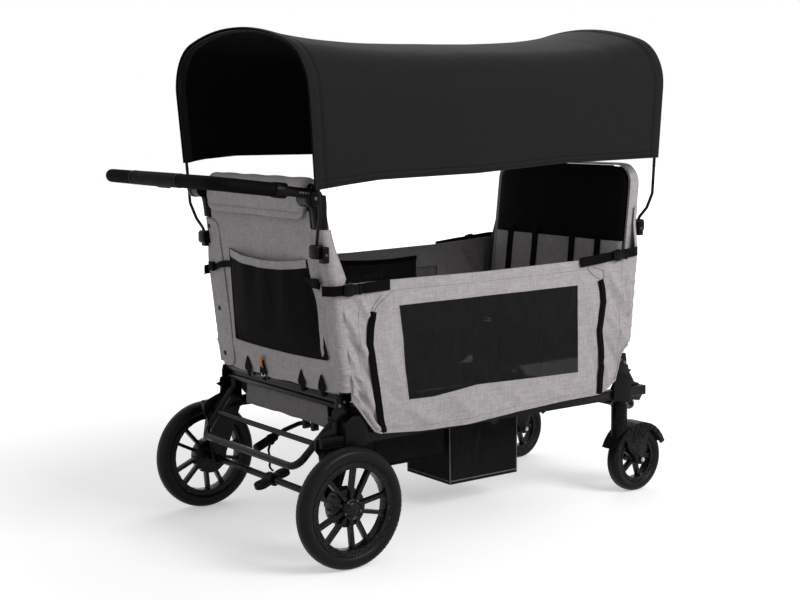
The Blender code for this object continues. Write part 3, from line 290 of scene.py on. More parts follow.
def block(name, low, high, bevel=0.001, segments=2):
    bm = bmesh.new()
    bmesh.ops.create_cube(bm, size=1.0)
    size = [high[i] - low[i] for i in range(3)]
    bmesh.ops.scale(bm, vec=size, verts=bm.verts)
    bmesh.ops.translate(bm, vec=[(high[i] + low[i]) / 2 for i in range(3)], verts=bm.verts)
    if bevel:
        bmesh.ops.bevel(bm, geom=bm.edges, offset=min(bevel, min(size) * 0.45), segments=segments, profile=0.6,
                        affect="EDGES")
    return fromBmesh(name, bm)


def settled(thing):
    # turns a piece's modifiers into its plain mesh
    bpy.context.view_layer.update()
    mesh = bpy.data.meshes.new_from_object(thing.evaluated_get(bpy.context.evaluated_depsgraph_get()))
    mesh.transform(thing.matrix_world)
    thing.modifiers.clear()
    thing.data = mesh
    thing.matrix_world = Matrix.Identity(4)
    return thing


def thicken(thing, depth, outward=0.0, lining=False):
    # lining: the inner face is marked for a second material, given in dress; the ones used are darker cloth, painted
    # shade on the inside
    solid = thing.modifiers.new("thick", "SOLIDIFY")
    solid.thickness = depth
    solid.offset = outward
    solid.use_even_offset = True
    if lining:
        for face in ("outer", "inner"):
            thing.data.materials.append(bpy.data.materials[0])
        solid.material_offset = 1
    return settled(thing)


def rounder(thing):
    sub = thing.modifiers.new("round", "SUBSURF")
    sub.levels = sub.render_levels = 1
    return settled(thing)


def joined(name, things):
    bm = bmesh.new()
    bm.loops.layers.uv.new("UVMap")
    for thing in things:
        bm.from_mesh(thing.data)
        bpy.data.objects.remove(thing, do_unlink=True)
    mesh = bpy.data.meshes.new(name)
    bm.to_mesh(mesh)
    bm.free()
    return added(name, mesh)


def dress(thing, skin, body, nodes=(), angle=40, name=None, lining=None):
    # gives a piece its finish and its body, and hides the nodes it stands for
    if name:
        thing.name = name
    thing.data.name = thing.name
    marks = [face.material_index for face in thing.data.polygons] if lining else []
    thing.data.materials.clear()
    thing.data.materials.append(finish[skin])
    # the inner faces get the second finish: darker cloth, painted shade
    if lining:
        thing.data.materials.append(finish[lining])
        thing.data.polygons.foreach_set("material_index", marks)
    thing.data.shade_smooth()
    thing.data.set_sharp_from_angle(angle=radians(angle))
    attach(thing, body)
    if nodes:
        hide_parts(*nodes)
    return thing


def refined(node, bevel, segments):
    # a copy of a CAD node, merged and with its sharp edges softened
    copy = frame["nodes"][node].copy()
    copy.data = frame["nodes"][node].data.copy()
    for key in list(copy.keys()):
        del copy[key]
    copy.parent = None
    copy.hide_render = copy.hide_viewport = False
    copy.name = node + "_soft"
    bpy.context.scene.collection.objects.link(copy)
    bm = bmesh.new()
    bm.from_mesh(copy.data)
    bmesh.ops.remove_doubles(bm, verts=bm.verts, dist=0.00005)
    bmesh.ops.dissolve_limit(bm, angle_limit=radians(1.0), verts=bm.verts, edges=bm.edges)
    bmesh.ops.recalc_face_normals(bm, faces=bm.faces)
    bm.to_mesh(copy.data)
    bm.free()
    if bevel:
        soft = copy.modifiers.new("soft", "BEVEL")
        soft.width = bevel
        soft.segments = segments
        soft.limit_method = "ANGLE"
        soft.angle_limit = radians(30)
        soft.use_clamp_overlap = True
        soft.harden_normals = False
    return settled(copy)


# camera, lamps and floor
view = {"lens": 67.743, "shift": (0.0826, -0.0591), "place": (-2.3807, -3.2173, 1.1171), "yaw": 0.977,
        "pitch": -0.1038, "roll": -0.0156, "sensor": 36, "near": 0.05, "far": 60}
lamps = {
    "key": {"place": (1.1, -3.6, 2.7), "aim": (0, 0, 0.6), "size": 2.0, "watts": 126},
    "fill": {"place": (-3.2, 0.6, 1.6), "aim": (0, 0, 0.5), "size": 2.6, "watts": 7},
    "far": {"place": (2.4, 2.2, 2.8), "aim": (0, 0, 0.7), "size": 2.4, "watts": 26},
}
surround = {"bounce": 0.44, "floorHalf": 14, "floorGrey": 0.8, "shadowFrom": 1.0, "shadowTo": 3.0, "underGlow": 0.4}


def putCamera():
    pitch, yaw = view["pitch"], view["yaw"]
    ahead = Vector((cos(pitch) * cos(yaw), cos(pitch) * sin(yaw), sin(pitch)))
    across = Vector((sin(yaw), -cos(yaw), 0))
    upward = across.cross(ahead)
    c, s = cos(view["roll"]), sin(view["roll"])
    across, upward = across * c + upward * s, upward * c - across * s
    lens = bpy.data.cameras.new("photo_view")
    lens.lens, lens.sensor_width = view["lens"], view["sensor"]
    lens.shift_x, lens.shift_y = view["shift"]
    lens.clip_start, lens.clip_end = view["near"], view["far"]
    camera = added("photo_view", lens)
    columns = (across, upward, -ahead, Vector(view["place"]))
    camera.matrix_world = Matrix([[column[k] for column in columns] for k in range(3)] + [[0, 0, 0, 1]])
    bpy.context.scene.camera = camera


def putLamps():
    for name, facts in lamps.items():
        light = bpy.data.lights.new(name, "AREA")
        light.size, light.energy = facts["size"], facts["watts"]
        lamp = added(name, light)
        lamp.location = facts["place"]
        lamp.rotation_euler = (Vector(facts["aim"]) - Vector(facts["place"])).to_track_quat("-Z",
                                                                                            "Y").to_euler()


def feed(tree, value, socket):
    # a value is a plain one, another node's output, or a node whose first output is meant
    if isinstance(value, bpy.types.Node):
        value = value.outputs[0]
    if isinstance(value, bpy.types.NodeSocket):
        tree.links.new(value, socket)
    else:
        socket.default_value = value


def put(tree, kind, inputs=None, **settings):
    # adds a node; a short kind is a shader node
    item = tree.nodes.new(kind if "Node" in kind else "ShaderNode" + kind)
    for key, value in settings.items():
        setattr(item, key, value)
    for key, value in (inputs or {}).items():
        feed(tree, value, item.inputs[key])
    return item


def calc(tree, operation, *values, clamp=False):
    item = put(tree, "Math", dict(enumerate(values)), operation=operation)
    item.use_clamp = clamp
    return item.outputs[0]


def times(tree, a, b, clamp=False):
    return calc(tree, "MULTIPLY", a, b, clamp=clamp)


def plus(tree, a, b, clamp=False):
    return calc(tree, "ADD", a, b, clamp=clamp)


def tint(tree, share, a, b):
    return put(tree, "Mix", {0: share, 6: a, 7: b}, data_type="RGBA").outputs[2]


def grey(level, warm=0.0):
    return (level * (1 + warm), level * (1 - warm * 0.2), level, 1.0)


def seenDirectly(tree):
    # 1 for the camera, for reflections and through holes, 0 for the light that bounces
    path = put(tree, "LightPath").outputs
    seen = plus(tree, path["Is Camera Ray"], path["Is Glossy Ray"], clamp=True)
    return plus(tree, seen, path["Is Transmission Ray"], clamp=True)


def putWorld():
    world = bpy.data.worlds.new("studio")
    bpy.context.scene.world = world
    world.use_nodes = True
    tree = world.node_tree
    tree.nodes.clear()
    soft = put(tree, "Background", {"Color": grey(1.0), "Strength": surround["bounce"]})
    white = put(tree, "Background", {"Color": grey(1.0), "Strength": 1.0})
    both = put(tree, "MixShader", {0: seenDirectly(tree), 1: soft, 2: white})
    put(tree, "OutputWorld", {"Surface": both})


def putFloor():
    # a wide floor that keeps the object's soft shadow and is white everywhere else
    h = surround["floorHalf"]
    floor = meshObject("floor", [(-h, -h, 0), (h, -h, 0), (h, h, 0), (-h, h, 0)], [(0, 1, 2, 3)])
    paint = bpy.data.materials.new("floor_white")
    paint.use_nodes = True
    tree = paint.node_tree
    tree.nodes.clear()
    matte = put(tree, "BsdfDiffuse", {"Color": grey(surround["floorGrey"])})
    away = put(tree, "VectorMath", {0: put(tree, "TexCoord").outputs["Object"]}, operation="LENGTH")
    reach = put(tree, "MapRange", {"Value": away.outputs["Value"], "From Min": surround["shadowFrom"],
                                   "From Max": surround["shadowTo"], "To Min": surround["underGlow"]})
    glow = put(tree, "Emission", {"Color": grey(1.0), "Strength": reach})
    both = put(tree, "AddShader", {0: matte, 1: glow})
    pick = put(tree, "MixShader", {0: seenDirectly(tree), 1: matte, 2: both})
    put(tree, "OutputMaterial", {"Surface": pick})
    floor.data.materials.append(paint)


bpy.context.scene.view_settings.view_transform = "Standard"
putCamera()
putLamps()
putWorld()
putFloor()
print("camera, lamps and floor are set")


def newTree(kind, name, inputs, outputs):
    # an empty node group with its sockets
    tree = bpy.data.node_groups.new(name, kind + "NodeTree")
    for key, sort, value in inputs:
        socket = tree.interface.new_socket(name=key, in_out="INPUT", socket_type="NodeSocket" + sort)
        if value is not None:
            socket.default_value = value
    for key, sort in outputs:
        tree.interface.new_socket(name=key, in_out="OUTPUT", socket_type="NodeSocket" + sort)
    return tree, put(tree, "NodeGroupInput").outputs, put(tree, "NodeGroupOutput").inputs


def newGroup(name, settings, outputs=("Height",)):
    # a shader group that reads a place and some plain numbers
    inputs = [("Vector", "Vector", None)] + [(key, "Float", value) for key, value in settings.items()]
    return newTree("Shader", name, inputs, [(key, "Float") for key in outputs])


def weaveGroup():
    # crossed threads, over and under in turn, with thicker and thinner stretches
    tree, given, out = newGroup("thread_weave", {"Threads": 900.0, "Slub": 0.4})
    scaled = put(tree, "VectorMath", {0: given["Vector"], "Scale": given["Threads"]}, operation="SCALE")
    parts = put(tree, "SeparateXYZ", {0: scaled}).outputs
    slanted = plus(tree, parts["X"], times(tree, parts["Z"], 0.31))
    upright = plus(tree, parts["Y"], parts["Z"])
    warp = calc(tree, "SINE", times(tree, slanted, pi))
    weft = calc(tree, "SINE", times(tree, upright, pi))
    ridge = plus(tree, times(tree, times(tree, warp, weft), 0.5), 0.5)
    slubs = put(tree, "TexNoise", {"Vector": scaled, "Scale": 0.045, "Detail": 3.0, "Roughness": 0.6})
    feed(tree, plus(tree, ridge, times(tree, slubs, given["Slub"])), out["Height"])
    return tree


def heatherGroup():
    # pale and dark fibres mixed in short streaks, with broad faint changes under them
    tree, given, out = newGroup("heather_fibres", {"Size": 420.0, "Broad": 9.0}, ("Fibres", "Patches"))
    streaks = []
    for stretch in ((0.16, 0.16, 1.0), (1.0, 1.0, 0.14)):
        drawn = put(tree, "VectorMath", {0: given["Vector"], 1: stretch}, operation="MULTIPLY")
        streaks.append(put(tree, "TexNoise", {"Vector": drawn, "Scale": given["Size"], "Detail": 2.0}))
    both = times(tree, plus(tree, *streaks), 0.5)
    feed(tree, put(tree, "MapRange", {"Value": both, "From Min": 0.4, "From Max": 0.6}), out["Fibres"])
    wide = put(tree, "TexNoise", {"Vector": given["Vector"], "Scale": given["Broad"], "Detail": 3.0})
    feed(tree, wide, out["Patches"])
    return tree


def creaseGroup():
    # slack cloth: long shallow creases that cross one way, and small puckers
    tree, given, out = newGroup("slack_creases", {"Scale": 14.0})
    drawn = put(tree, "VectorMath", {0: given["Vector"], 1: (1.0, 1.0, 0.45)}, operation="MULTIPLY")
    folds = put(tree, "TexNoise", {"Vector": drawn, "Scale": given["Scale"], "Detail": 2.5, "Roughness": 0.45,
                                   "Distortion": 0.6})
    ridged = calc(tree, "ABSOLUTE", calc(tree, "SUBTRACT", folds, 0.5))
    crease = calc(tree, "POWER", calc(tree, "SUBTRACT", 1.0, times(tree, ridged, 3.2), clamp=True), 3.0)
    feed(tree, plus(tree, times(tree, crease, 0.35), folds), out["Height"])
    return tree


def grainGroup():
    # moulded or sprayed surface: fine pits, slow swells, a change in gloss, and dust low down
    tree, given, out = newGroup("fine_grain", {"Pits": 2600.0, "Swell": 38.0}, ("Height", "Gloss", "Dust"))
    pits = put(tree, "TexVoronoi", {"Vector": given["Vector"], "Scale": given["Pits"]})
    swell = put(tree, "TexNoise", {"Vector": given["Vector"], "Scale": given["Swell"], "Detail": 4.0})
    feed(tree, plus(tree, pits.outputs["Distance"], swell), out["Height"])
    gloss = put(tree, "MapRange", {"Value": swell, "From Min": 0.3, "From Max": 0.7, "To Min": -1.0})
    feed(tree, gloss, out["Gloss"])
    height = put(tree, "SeparateXYZ", {0: given["Vector"]}).outputs["Z"]
    low = put(tree, "MapRange", {"Value": height, "From Max": 0.34, "To Min": 1.0, "To Max": 0.0})
    specks = put(tree, "TexNoise", {"Vector": given["Vector"], "Scale": 210.0, "Detail": 5.0})
    dust = put(tree, "MapRange", {"Value": specks, "From Min": 0.52, "From Max": 0.78})
    feed(tree, times(tree, dust, low), out["Dust"])
    return tree


def ribGroup():
    # woven tape: ribs across, two raised borders along
    tree, given, out = newGroup("tape_ribs", {"Ribs": 520.0})
    parts = put(tree, "SeparateXYZ", {0: given["Vector"]}).outputs
    slant = plus(tree, times(tree, parts["X"], 0.5), parts["Y"])
    ribs = calc(tree, "SINE", times(tree, slant, times(tree, given["Ribs"], 6.283)))
    cords = calc(tree, "SINE", times(tree, parts["X"], 1900.0))
    feed(tree, plus(tree, ribs, times(tree, cords, 0.5)), out["Height"])
    return tree


effect = {"weave": weaveGroup(), "heather": heatherGroup(), "creases": creaseGroup(), "grain": grainGroup(),
          "ribs": ribGroup()}


def uses(tree, name, place, **values):
    item = tree.nodes.new("ShaderNodeGroup")
    item.node_tree = effect[name]
    for key, value in dict(values, Vector=place).items():
        feed(tree, value, item.inputs[key])
    return item.outputs


def finishOf(name, **sockets):
    material = bpy.data.materials.new(name)
    material.use_nodes = True
    tree = material.node_tree
    shader = tree.nodes["Principled BSDF"].inputs
    for key, value in sockets.items():
        shader[key.replace("_", " ")].default_value = value
    place = put(tree, "TexCoord").outputs
    return material, tree, shader, place["Object"], place["UV"]


def relief(tree, shader, *layers):
    # stacks bumps: (height, strength, depth in metres)
    normal = None
    for height, strength, depth in layers:
        bump = put(tree, "Bump", {"Height": height, "Strength": strength, "Distance": depth})
        if normal is not None:
            feed(tree, normal, bump.inputs["Normal"])
        normal = bump
    feed(tree, normal, shader["Normal"])


# finishes
cloth = {
    "grey_melange": {"pale": 0.405, "dark": 0.225, "warm": 0.06, "sheen": 0.25, "creases": 0.0016},
    "grey_shadow": {"pale": 0.185, "dark": 0.115, "warm": 0.06, "sheen": 0.2, "creases": 0.0016},
    "black_padding": {"pale": 0.0036, "dark": 0.0014, "warm": 0.0, "sheen": 0.01, "creases": 0.0014},
    "charcoal_canopy": {"pale": 0.0125, "dark": 0.0092, "warm": 0.0, "sheen": 0.02, "creases": 0.0008},
    # darker copy of charcoal_canopy: painted shade for the canopy sheet's inner face
    "canopy_lining": {"pale": 0.0016, "dark": 0.0008, "warm": 0.0, "sheen": 0.0, "creases": 0.0006},
    "seat_black": {"pale": 0.014, "dark": 0.007, "warm": 0.0, "sheen": 0.05, "creases": 0.0014},
}


def clothFinish(name, threads=1100.0, rough=0.88, creaseScale=11.0, depth=0.00022, useUv=True):
    facts = cloth[name]
    material, tree, shader, place, uv = finishOf(name, Roughness=rough, Sheen_Weight=facts["sheen"],
                                                 Sheen_Roughness=0.45, Specular_IOR_Level=0.06)
    weave = uses(tree, "weave", uv if useUv else place, Threads=threads, Slub=0.5)["Height"]
    fibres = uses(tree, "heather", place, Size=1500.0, Broad=7.0)
    streaks = uses(tree, "heather", place, Size=260.0, Broad=26.0)
    share = 0.0
    for socket, amount in ((fibres["Fibres"], 0.4), (fibres["Patches"], 0.22), (streaks["Fibres"], 0.38),
                           (streaks["Patches"], 0.12)):
        share = plus(tree, share, times(tree, socket, amount), clamp=True)
    shade = tint(tree, share, grey(facts["dark"], facts["warm"]), grey(facts["pale"], facts["warm"]))
    lines = put(tree, "MapRange", {"Value": weave, "To Min": 0.82, "To Max": 1.06})
    feed(tree, put(tree, "VectorMath", {0: shade, "Scale": lines}, operation="SCALE"), shader["Base Color"])
    folds = uses(tree, "creases", place, Scale=creaseScale)["Height"]
    relief(tree, shader, (folds, 0.55, facts["creases"] * 4), (weave, 0.5, depth))
    return material


def meshFinish(name, pitch, solid, colour):
    # open knitted mesh: small holes in rows, seen as see-through black cloth
    material, tree, shader, place, uv = finishOf(name, Roughness=0.7, Sheen_Weight=0.02,
                                                 Specular_IOR_Level=0.06)
    scaled = put(tree, "VectorMath", {0: uv, "Scale": 1.0 / pitch}, operation="SCALE")
    parts = put(tree, "SeparateXYZ", {0: scaled}).outputs
    shifted = plus(tree, parts["X"], times(tree, calc(tree, "FLOOR", parts["Y"]), 0.5))
    a, b = (calc(tree, "SUBTRACT", calc(tree, "FRACT", value), 0.5) for value in (shifted, parts["Y"]))
    away = calc(tree, "SQRT", plus(tree, times(tree, a, a), times(tree, b, b)))
    thread = put(tree, "MapRange", {"Value": away, "From Min": 0.2, "From Max": 0.36, "To Min": solid - 0.42})
    feed(tree, thread, shader["Alpha"])
    tone = uses(tree, "heather", place, Size=300.0, Broad=12.0)["Patches"]
    feed(tree, tint(tree, tone, grey(colour * 0.7), grey(colour * 1.6)), shader["Base Color"])
    folds = uses(tree, "creases", place, Scale=16.0)["Height"]
    relief(tree, shader, (folds, 0.6, 0.008), (away, 0.4, 0.0004))
    return material


def hardFinish(name, colour, rough, pits, pitDepth, level=0.5, dust=0.05, gloss=0.05, metallic=0.0, wear=0.0):
    material, tree, shader, place = finishOf(name, Metallic=metallic, Specular_IOR_Level=level)[:4]
    skin = uses(tree, "grain", place, Pits=pits)
    varied = plus(tree, rough, times(tree, skin["Gloss"], gloss))
    feed(tree, plus(tree, varied, times(tree, skin["Dust"], 0.25), clamp=True), shader["Roughness"])
    tone = times(tree, plus(tree, skin["Gloss"], 1.0), 0.5)
    base = tint(tree, tone, grey(colour * 0.88), grey(colour * 1.12))
    base = tint(tree, times(tree, skin["Dust"], dust * 6, clamp=True), base, (0.2, 0.19, 0.175, 1))
    if wear:
        # paler along edges, where hands and straps rub
        edge = put(tree, "NewGeometry").outputs["Pointiness"]
        rubbed = put(tree, "MapRange", {"Value": edge, "From Min": 0.53, "From Max": 0.62})
        base = tint(tree, times(tree, rubbed, wear), base, grey(min(colour * 4 + 0.03, 0.5)))
    feed(tree, base, shader["Base Color"])
    relief(tree, shader, (skin["Height"], 0.5, pitDepth))
    return material


def tapeFinish(name, dark, pale, rough=0.7, ribs=520.0, sheen=0.0):
    material, tree, shader, place, uv = finishOf(name, Roughness=rough, Sheen_Weight=sheen,
                                                 Specular_IOR_Level=0.03)
    tone = uses(tree, "heather", place, Size=500.0, Broad=20.0)["Fibres"]
    feed(tree, tint(tree, tone, dark, pale), shader["Base Color"])
    relief(tree, shader, (uses(tree, "ribs", uv, Ribs=ribs)["Height"], 0.5, 0.0003))
    return material


def boardFinish():
    # pressed board under black oilcloth, with a long faint grain
    material, tree, shader, place = finishOf("black_board", Roughness=0.6, Specular_IOR_Level=0.35)[:4]
    drawn = put(tree, "VectorMath", {0: place, 1: (6.0, 60.0, 60.0)}, operation="MULTIPLY")
    grain = put(tree, "TexNoise", {"Vector": drawn, "Scale": 4.0, "Detail": 5.0})
    feed(tree, tint(tree, grain, grey(0.007), grey(0.016)), shader["Base Color"])
    relief(tree, shader, (grain, 0.4, 0.0004))
    return material


finish = {
    "greyCloth": clothFinish("grey_melange"),
    "greyShade": clothFinish("grey_shadow"),
    "blackCloth": clothFinish("black_padding", threads=900.0, creaseScale=9.0),
    "canopy": clothFinish("charcoal_canopy", threads=1400.0, rough=0.74, creaseScale=5.0, depth=0.00012),
    "canopyInsideShade": clothFinish("canopy_lining", threads=1400.0, rough=0.9, creaseScale=5.0, depth=0.00012),
    "seatCloth": clothFinish("seat_black", threads=800.0, useUv=False),
    "windowMesh": meshFinish("window_mesh", 0.0021, 0.982, 0.006),
    "wellMesh": meshFinish("well_mesh", 0.0034, 0.9, 0.007),
    "satinBlack": hardFinish("satin_black_metal", 0.0022, 0.26, 5200.0, 0.00002, 0.1, wear=0.02),
    "plastic": hardFinish("grained_plastic", 0.0026, 0.38, 2400.0, 0.00005, 0.07, wear=0.02),
    "softPlastic": hardFinish("smooth_plastic", 0.0022, 0.3, 3600.0, 0.00002, 0.06, wear=0.02),
    "rim": hardFinish("rim_plastic", 0.0024, 0.24, 3200.0, 0.00003, 0.12, wear=0.03),
    "tyre": hardFinish("tyre_rubber", 0.0032, 0.38, 1500.0, 0.00003, 0.11, dust=0.01, gloss=0.04),
    "foam": hardFinish("grip_foam", 0.0024, 0.58, 900.0, 0.0002, 0.03),
    "steel": hardFinish("bare_steel", 0.42, 0.3, 4200.0, 0.00001, dust=0.0, metallic=1.0),
    "gunmetal": hardFinish("dark_rivet", 0.06, 0.32, 4200.0, 0.00001, dust=0.0, metallic=0.8),
    "webbing": tapeFinish("black_webbing", grey(0.0016), grey(0.0025), rough=0.62),
    "blackTape": tapeFinish("black_binding", grey(0.00192), grey(0.003)),
    "greyTape": tapeFinish("grey_binding", grey(0.112, 0.02), grey(0.175, 0.02), rough=0.8, ribs=380.0, sheen=0.2),
    "orangeTape": tapeFinish("orange_tag", (0.55, 0.13, 0.02, 1), (0.75, 0.22, 0.05, 1), sheen=0.2),
    "board": boardFinish(),
}
print("finishes:", len(finish))

# every CAD node gets its slot's finish; fuller pieces replace most of them below
slotFinish = {"black_metal": "satinBlack", "black_plastic": "plastic", "tyre": "tyre", "foam": "foam",
              "grey_cloth": "greyCloth", "black_cloth": "blackCloth", "mesh_cloth": "wellMesh", "board": "board"}
for part in frame["record"]["subparts"]:
    skin = frame["nodes"][part["node"]].data.materials
    wanted = finish[slotFinish[part["material_slot"]]]
    for index in range(len(skin)):
        skin[index] = wanted
    if not len(skin):
        skin.append(wanted)


# Geometry Nodes for what repeats
def geoTree(name, inputs, shape):
    # shape makes the points, the copied shape and its turn from the tree's inputs
    tree, given, out = newTree("Geometry", name, [("Geometry", "Geometry", None)] + inputs
                               + [("Material", "Material", None)], [("Geometry", "Geometry")])
    tree.is_modifier = True
    points, copied, turn = shape(tree, given)
    placed = put(tree, "GeometryNodeInstanceOnPoints", {"Points": points, "Instance": copied, "Rotation": turn})
    real = put(tree, "GeometryNodeRealizeInstances", {0: placed})
    painted = put(tree, "GeometryNodeSetMaterial", {"Geometry": real, "Material": given["Material"]})
    feed(tree, painted, out[0])
    return tree


def alongShape(tree, given):
    # small blocks or pins set at even steps along a route
    curve = put(tree, "GeometryNodeMeshToCurve", {0: given["Geometry"]})
    points = put(tree, "GeometryNodeCurveToPoints", {"Curve": curve, "Length": given["Spacing"]}, mode="LENGTH")
    size = put(tree, "CombineXYZ", {"X": given["Width"], "Y": given["Height"], "Z": given["Length"]})
    cube = put(tree, "GeometryNodeMeshCube", {"Size": size})
    return points.outputs["Points"], cube.outputs["Mesh"], points.outputs["Rotation"]


def ringShape(tree, given):
    # copies of one shape turned evenly about the Y axis
    points = put(tree, "GeometryNodePoints", {"Count": given["Count"]})
    index = put(tree, "GeometryNodeInputIndex")
    step = calc(tree, "DIVIDE", tau, given["Count"])
    angle = plus(tree, times(tree, index, step), given["Turn"])
    spin = put(tree, "FunctionNodeEulerToRotation", {0: put(tree, "CombineXYZ", {"Y": angle})})
    return points, given["Geometry"], spin


repeats = {
    "along": geoTree("repeat_along", [("Spacing", "Float", 0.004), ("Length", "Float", 0.003),
                                      ("Width", "Float", 0.001),
                                      ("Height", "Float", 0.001)], alongShape),
    "ring": geoTree("ring_copies", [("Count", "Int", 6), ("Turn", "Float", 0.0)], ringShape),
}


def grown(thing, kind, **values):
    # runs one of the trees on a piece and leaves the plain mesh
    growth = thing.modifiers.new(kind, "NODES")
    growth.node_group = repeats[kind]
    keys = {socket.name: socket.identifier for socket in repeats[kind].interface.items_tree
            if socket.in_out == "INPUT"}
    for name, value in values.items():
        growth[keys[name]] = value
    return settled(thing)


def beads(name, route, spacing, size, skin):
    # a row of small blocks along a route: stitches, zip teeth, ribs
    mesh = bpy.data.meshes.new(name)
    mesh.from_pydata([tuple(p) for p in route], [(i, i + 1) for i in range(len(route) - 1)], [])
    length, width, height = size
    return grown(added(name, mesh), "along", Spacing=spacing, Length=length, Width=width, Height=height,
                 Material=finish[skin])


stitch = {"step": 0.0042, "size": (0.003, 0.0007, 0.0006)}


def stitched(name, route, skin):
    return beads(name, route, stitch["step"], stitch["size"], skin)


def ringOf(thing, count, turn, centre, skin):
    return moved(grown(thing, "ring", Count=count, Turn=turn, Material=finish[skin]), centre)


def sheetArea(rows):
    total = 0.0
    for a, b in zip(rows, rows[1:]):
        for p, q, r, s in zip(a, a[1:], b[1:], b):
            total += ((q - p).cross(s - p).length + (q - r).cross(s - r).length) / 2
    return total


# canopy: one sheet over two arches, with a sleeve at each rim
canopy = {
    "archR": 0.004, "half": 0.3165, "hemHalf": 0.313, "clipX": -0.036, "lean": 0.07,
    "archX": {"rear": -0.058, "front": -0.051}, "top": {"rear": 1.2805, "front": 1.2875},
    "hemZ": {"rear": 0.925, "front": 0.94}, "crownR": 0.77, "cornerR": 0.13, "sag": 0.04, "draw": 0.006,
    "clear": 0.0047, "thick": 0.0022, "sleeve": 0.02, "past": 0.0085,
    "near": ((0, 0.9016), (0.08, 0.91), (0.16, 0.917), (0.43, 0.92), (0.7, 0.934), (1, 0.937)),
    "far": ((0, 0.946), (0.05, 0.954), (0.14, 0.96), (0.4, 0.9545), (1, 0.95)),
}


def archLean(end, z):
    return canopy["archX"][end] - canopy["lean"] * (z - canopy["hemZ"]["rear"])


def archFoot(end):
    hem = canopy["hemZ"][end]
    x = canopy["clipX"]
    return [(x, 0.272, 0.742), (x, 0.272, 0.772), (x - 0.01, 0.292, 0.8), (archLean(end, 0.84), 0.313, 0.84),
            (archLean(end, hem), canopy["hemHalf"], hem)]


def archCrown(end, straight=7, corner=12, crown=16):
    # from the hem up and over to the middle, as (distance, y, z)
    side, gap = canopy["half"] - canopy["cornerR"], canopy["crownR"] - canopy["cornerR"]
    crownZ = canopy["top"][end] - canopy["crownR"]
    cornerZ = crownZ + sqrt(gap ** 2 - side ** 2)
    meet = acos(side / gap)
    hem = canopy["hemZ"][end]
    spots = []
    for i in range(straight):
        t = i / straight
        spots.append((mix(canopy["hemHalf"], canopy["half"], t), mix(hem, cornerZ, t)))
    for i in range(corner):
        angle = meet * i / corner
        spots.append((side + canopy["cornerR"] * cos(angle), cornerZ + canopy["cornerR"] * sin(angle)))
    for i in range(crown + 1):
        angle = meet + (pi / 2 - meet) * i / crown
        spots.append((canopy["crownR"] * cos(angle), crownZ + canopy["crownR"] * sin(angle)))
    return [(archLean(end, z), y, z) for y, z in spots]


def canopyRow(share, lift):
    # one girth of the canopy, from the near hem over to the far hem
    rear, front = archCrown("rear"), archCrown("front")
    hold = min(max(share, 0.0), 1.0)
    dip = 1 - abs(2 * hold - 1) ** 3.2
    shoulder = canopy["hemZ"]["front"]
    half = []
    for (rd, ry, rz), (fd, fy, fz) in zip(rear, front):
        x = mix(endX("rear", rd), endX("front", fd), share)
        y = mix(ry, fy, hold) - canopy["draw"] * dip
        z = mix(rz, fz, hold)
        z -= canopy["sag"] * dip * max(0.0, (z - shoulder) / (canopy["top"]["rear"] - shoulder)) ** 2
        half.append((x, y, z))
    row = []
    for side, hem in ((right, along(canopy["near"], share)), (left, along(canopy["far"], share))):
        low, part = half[0][2], []
        for k, (x, y, z) in enumerate(half):
            reach = max(0.0, 1 - k / 9)
            part.append(Vector((x, side * y, z + (hem - low) * reach)))
        row = part if side == right else row + part[-2::-1]
    out = []
    for j, point in enumerate(row):
        before, after = row[max(j - 1, 0)], row[min(j + 1, len(row) - 1)]
        run = after - before
        normal = Vector((0, -run.z, run.y)).normalized()
        soft = 0.0
        if 0.02 < share < 0.98:
            fade = ease(min(share, 1 - share) / 0.12)
            soft = 0.0012 * fade * ripple(share * 4.2, point.y * 4, point.z * 4)
            soft += 0.0004 * fade * ripple(share * 15 + point.z * 6, point.y * 9, 4.0)
            drop = max(0.0, 1 - (point.z - 0.91) / 0.12)
            soft += 0.0016 * fade * drop * sin(share * 15 + 0.7)
        out.append(point + normal * (lift + soft))
    return out


def sleeveLift(share, span):
    # the hem sleeve stands a little proud of the sheet and is drawn down at its stitching
    away = min(share, 1 - share) * span
    if away > canopy["sleeve"] + 0.006:
        return 0.0
    if away > canopy["sleeve"]:
        return -0.0006 * (1 - (away - canopy["sleeve"]) / 0.006)
    return 0.0012 * sin(pi * min(max((away + canopy["past"]) / (canopy["sleeve"] + canopy["past"]), 0.02), 1))


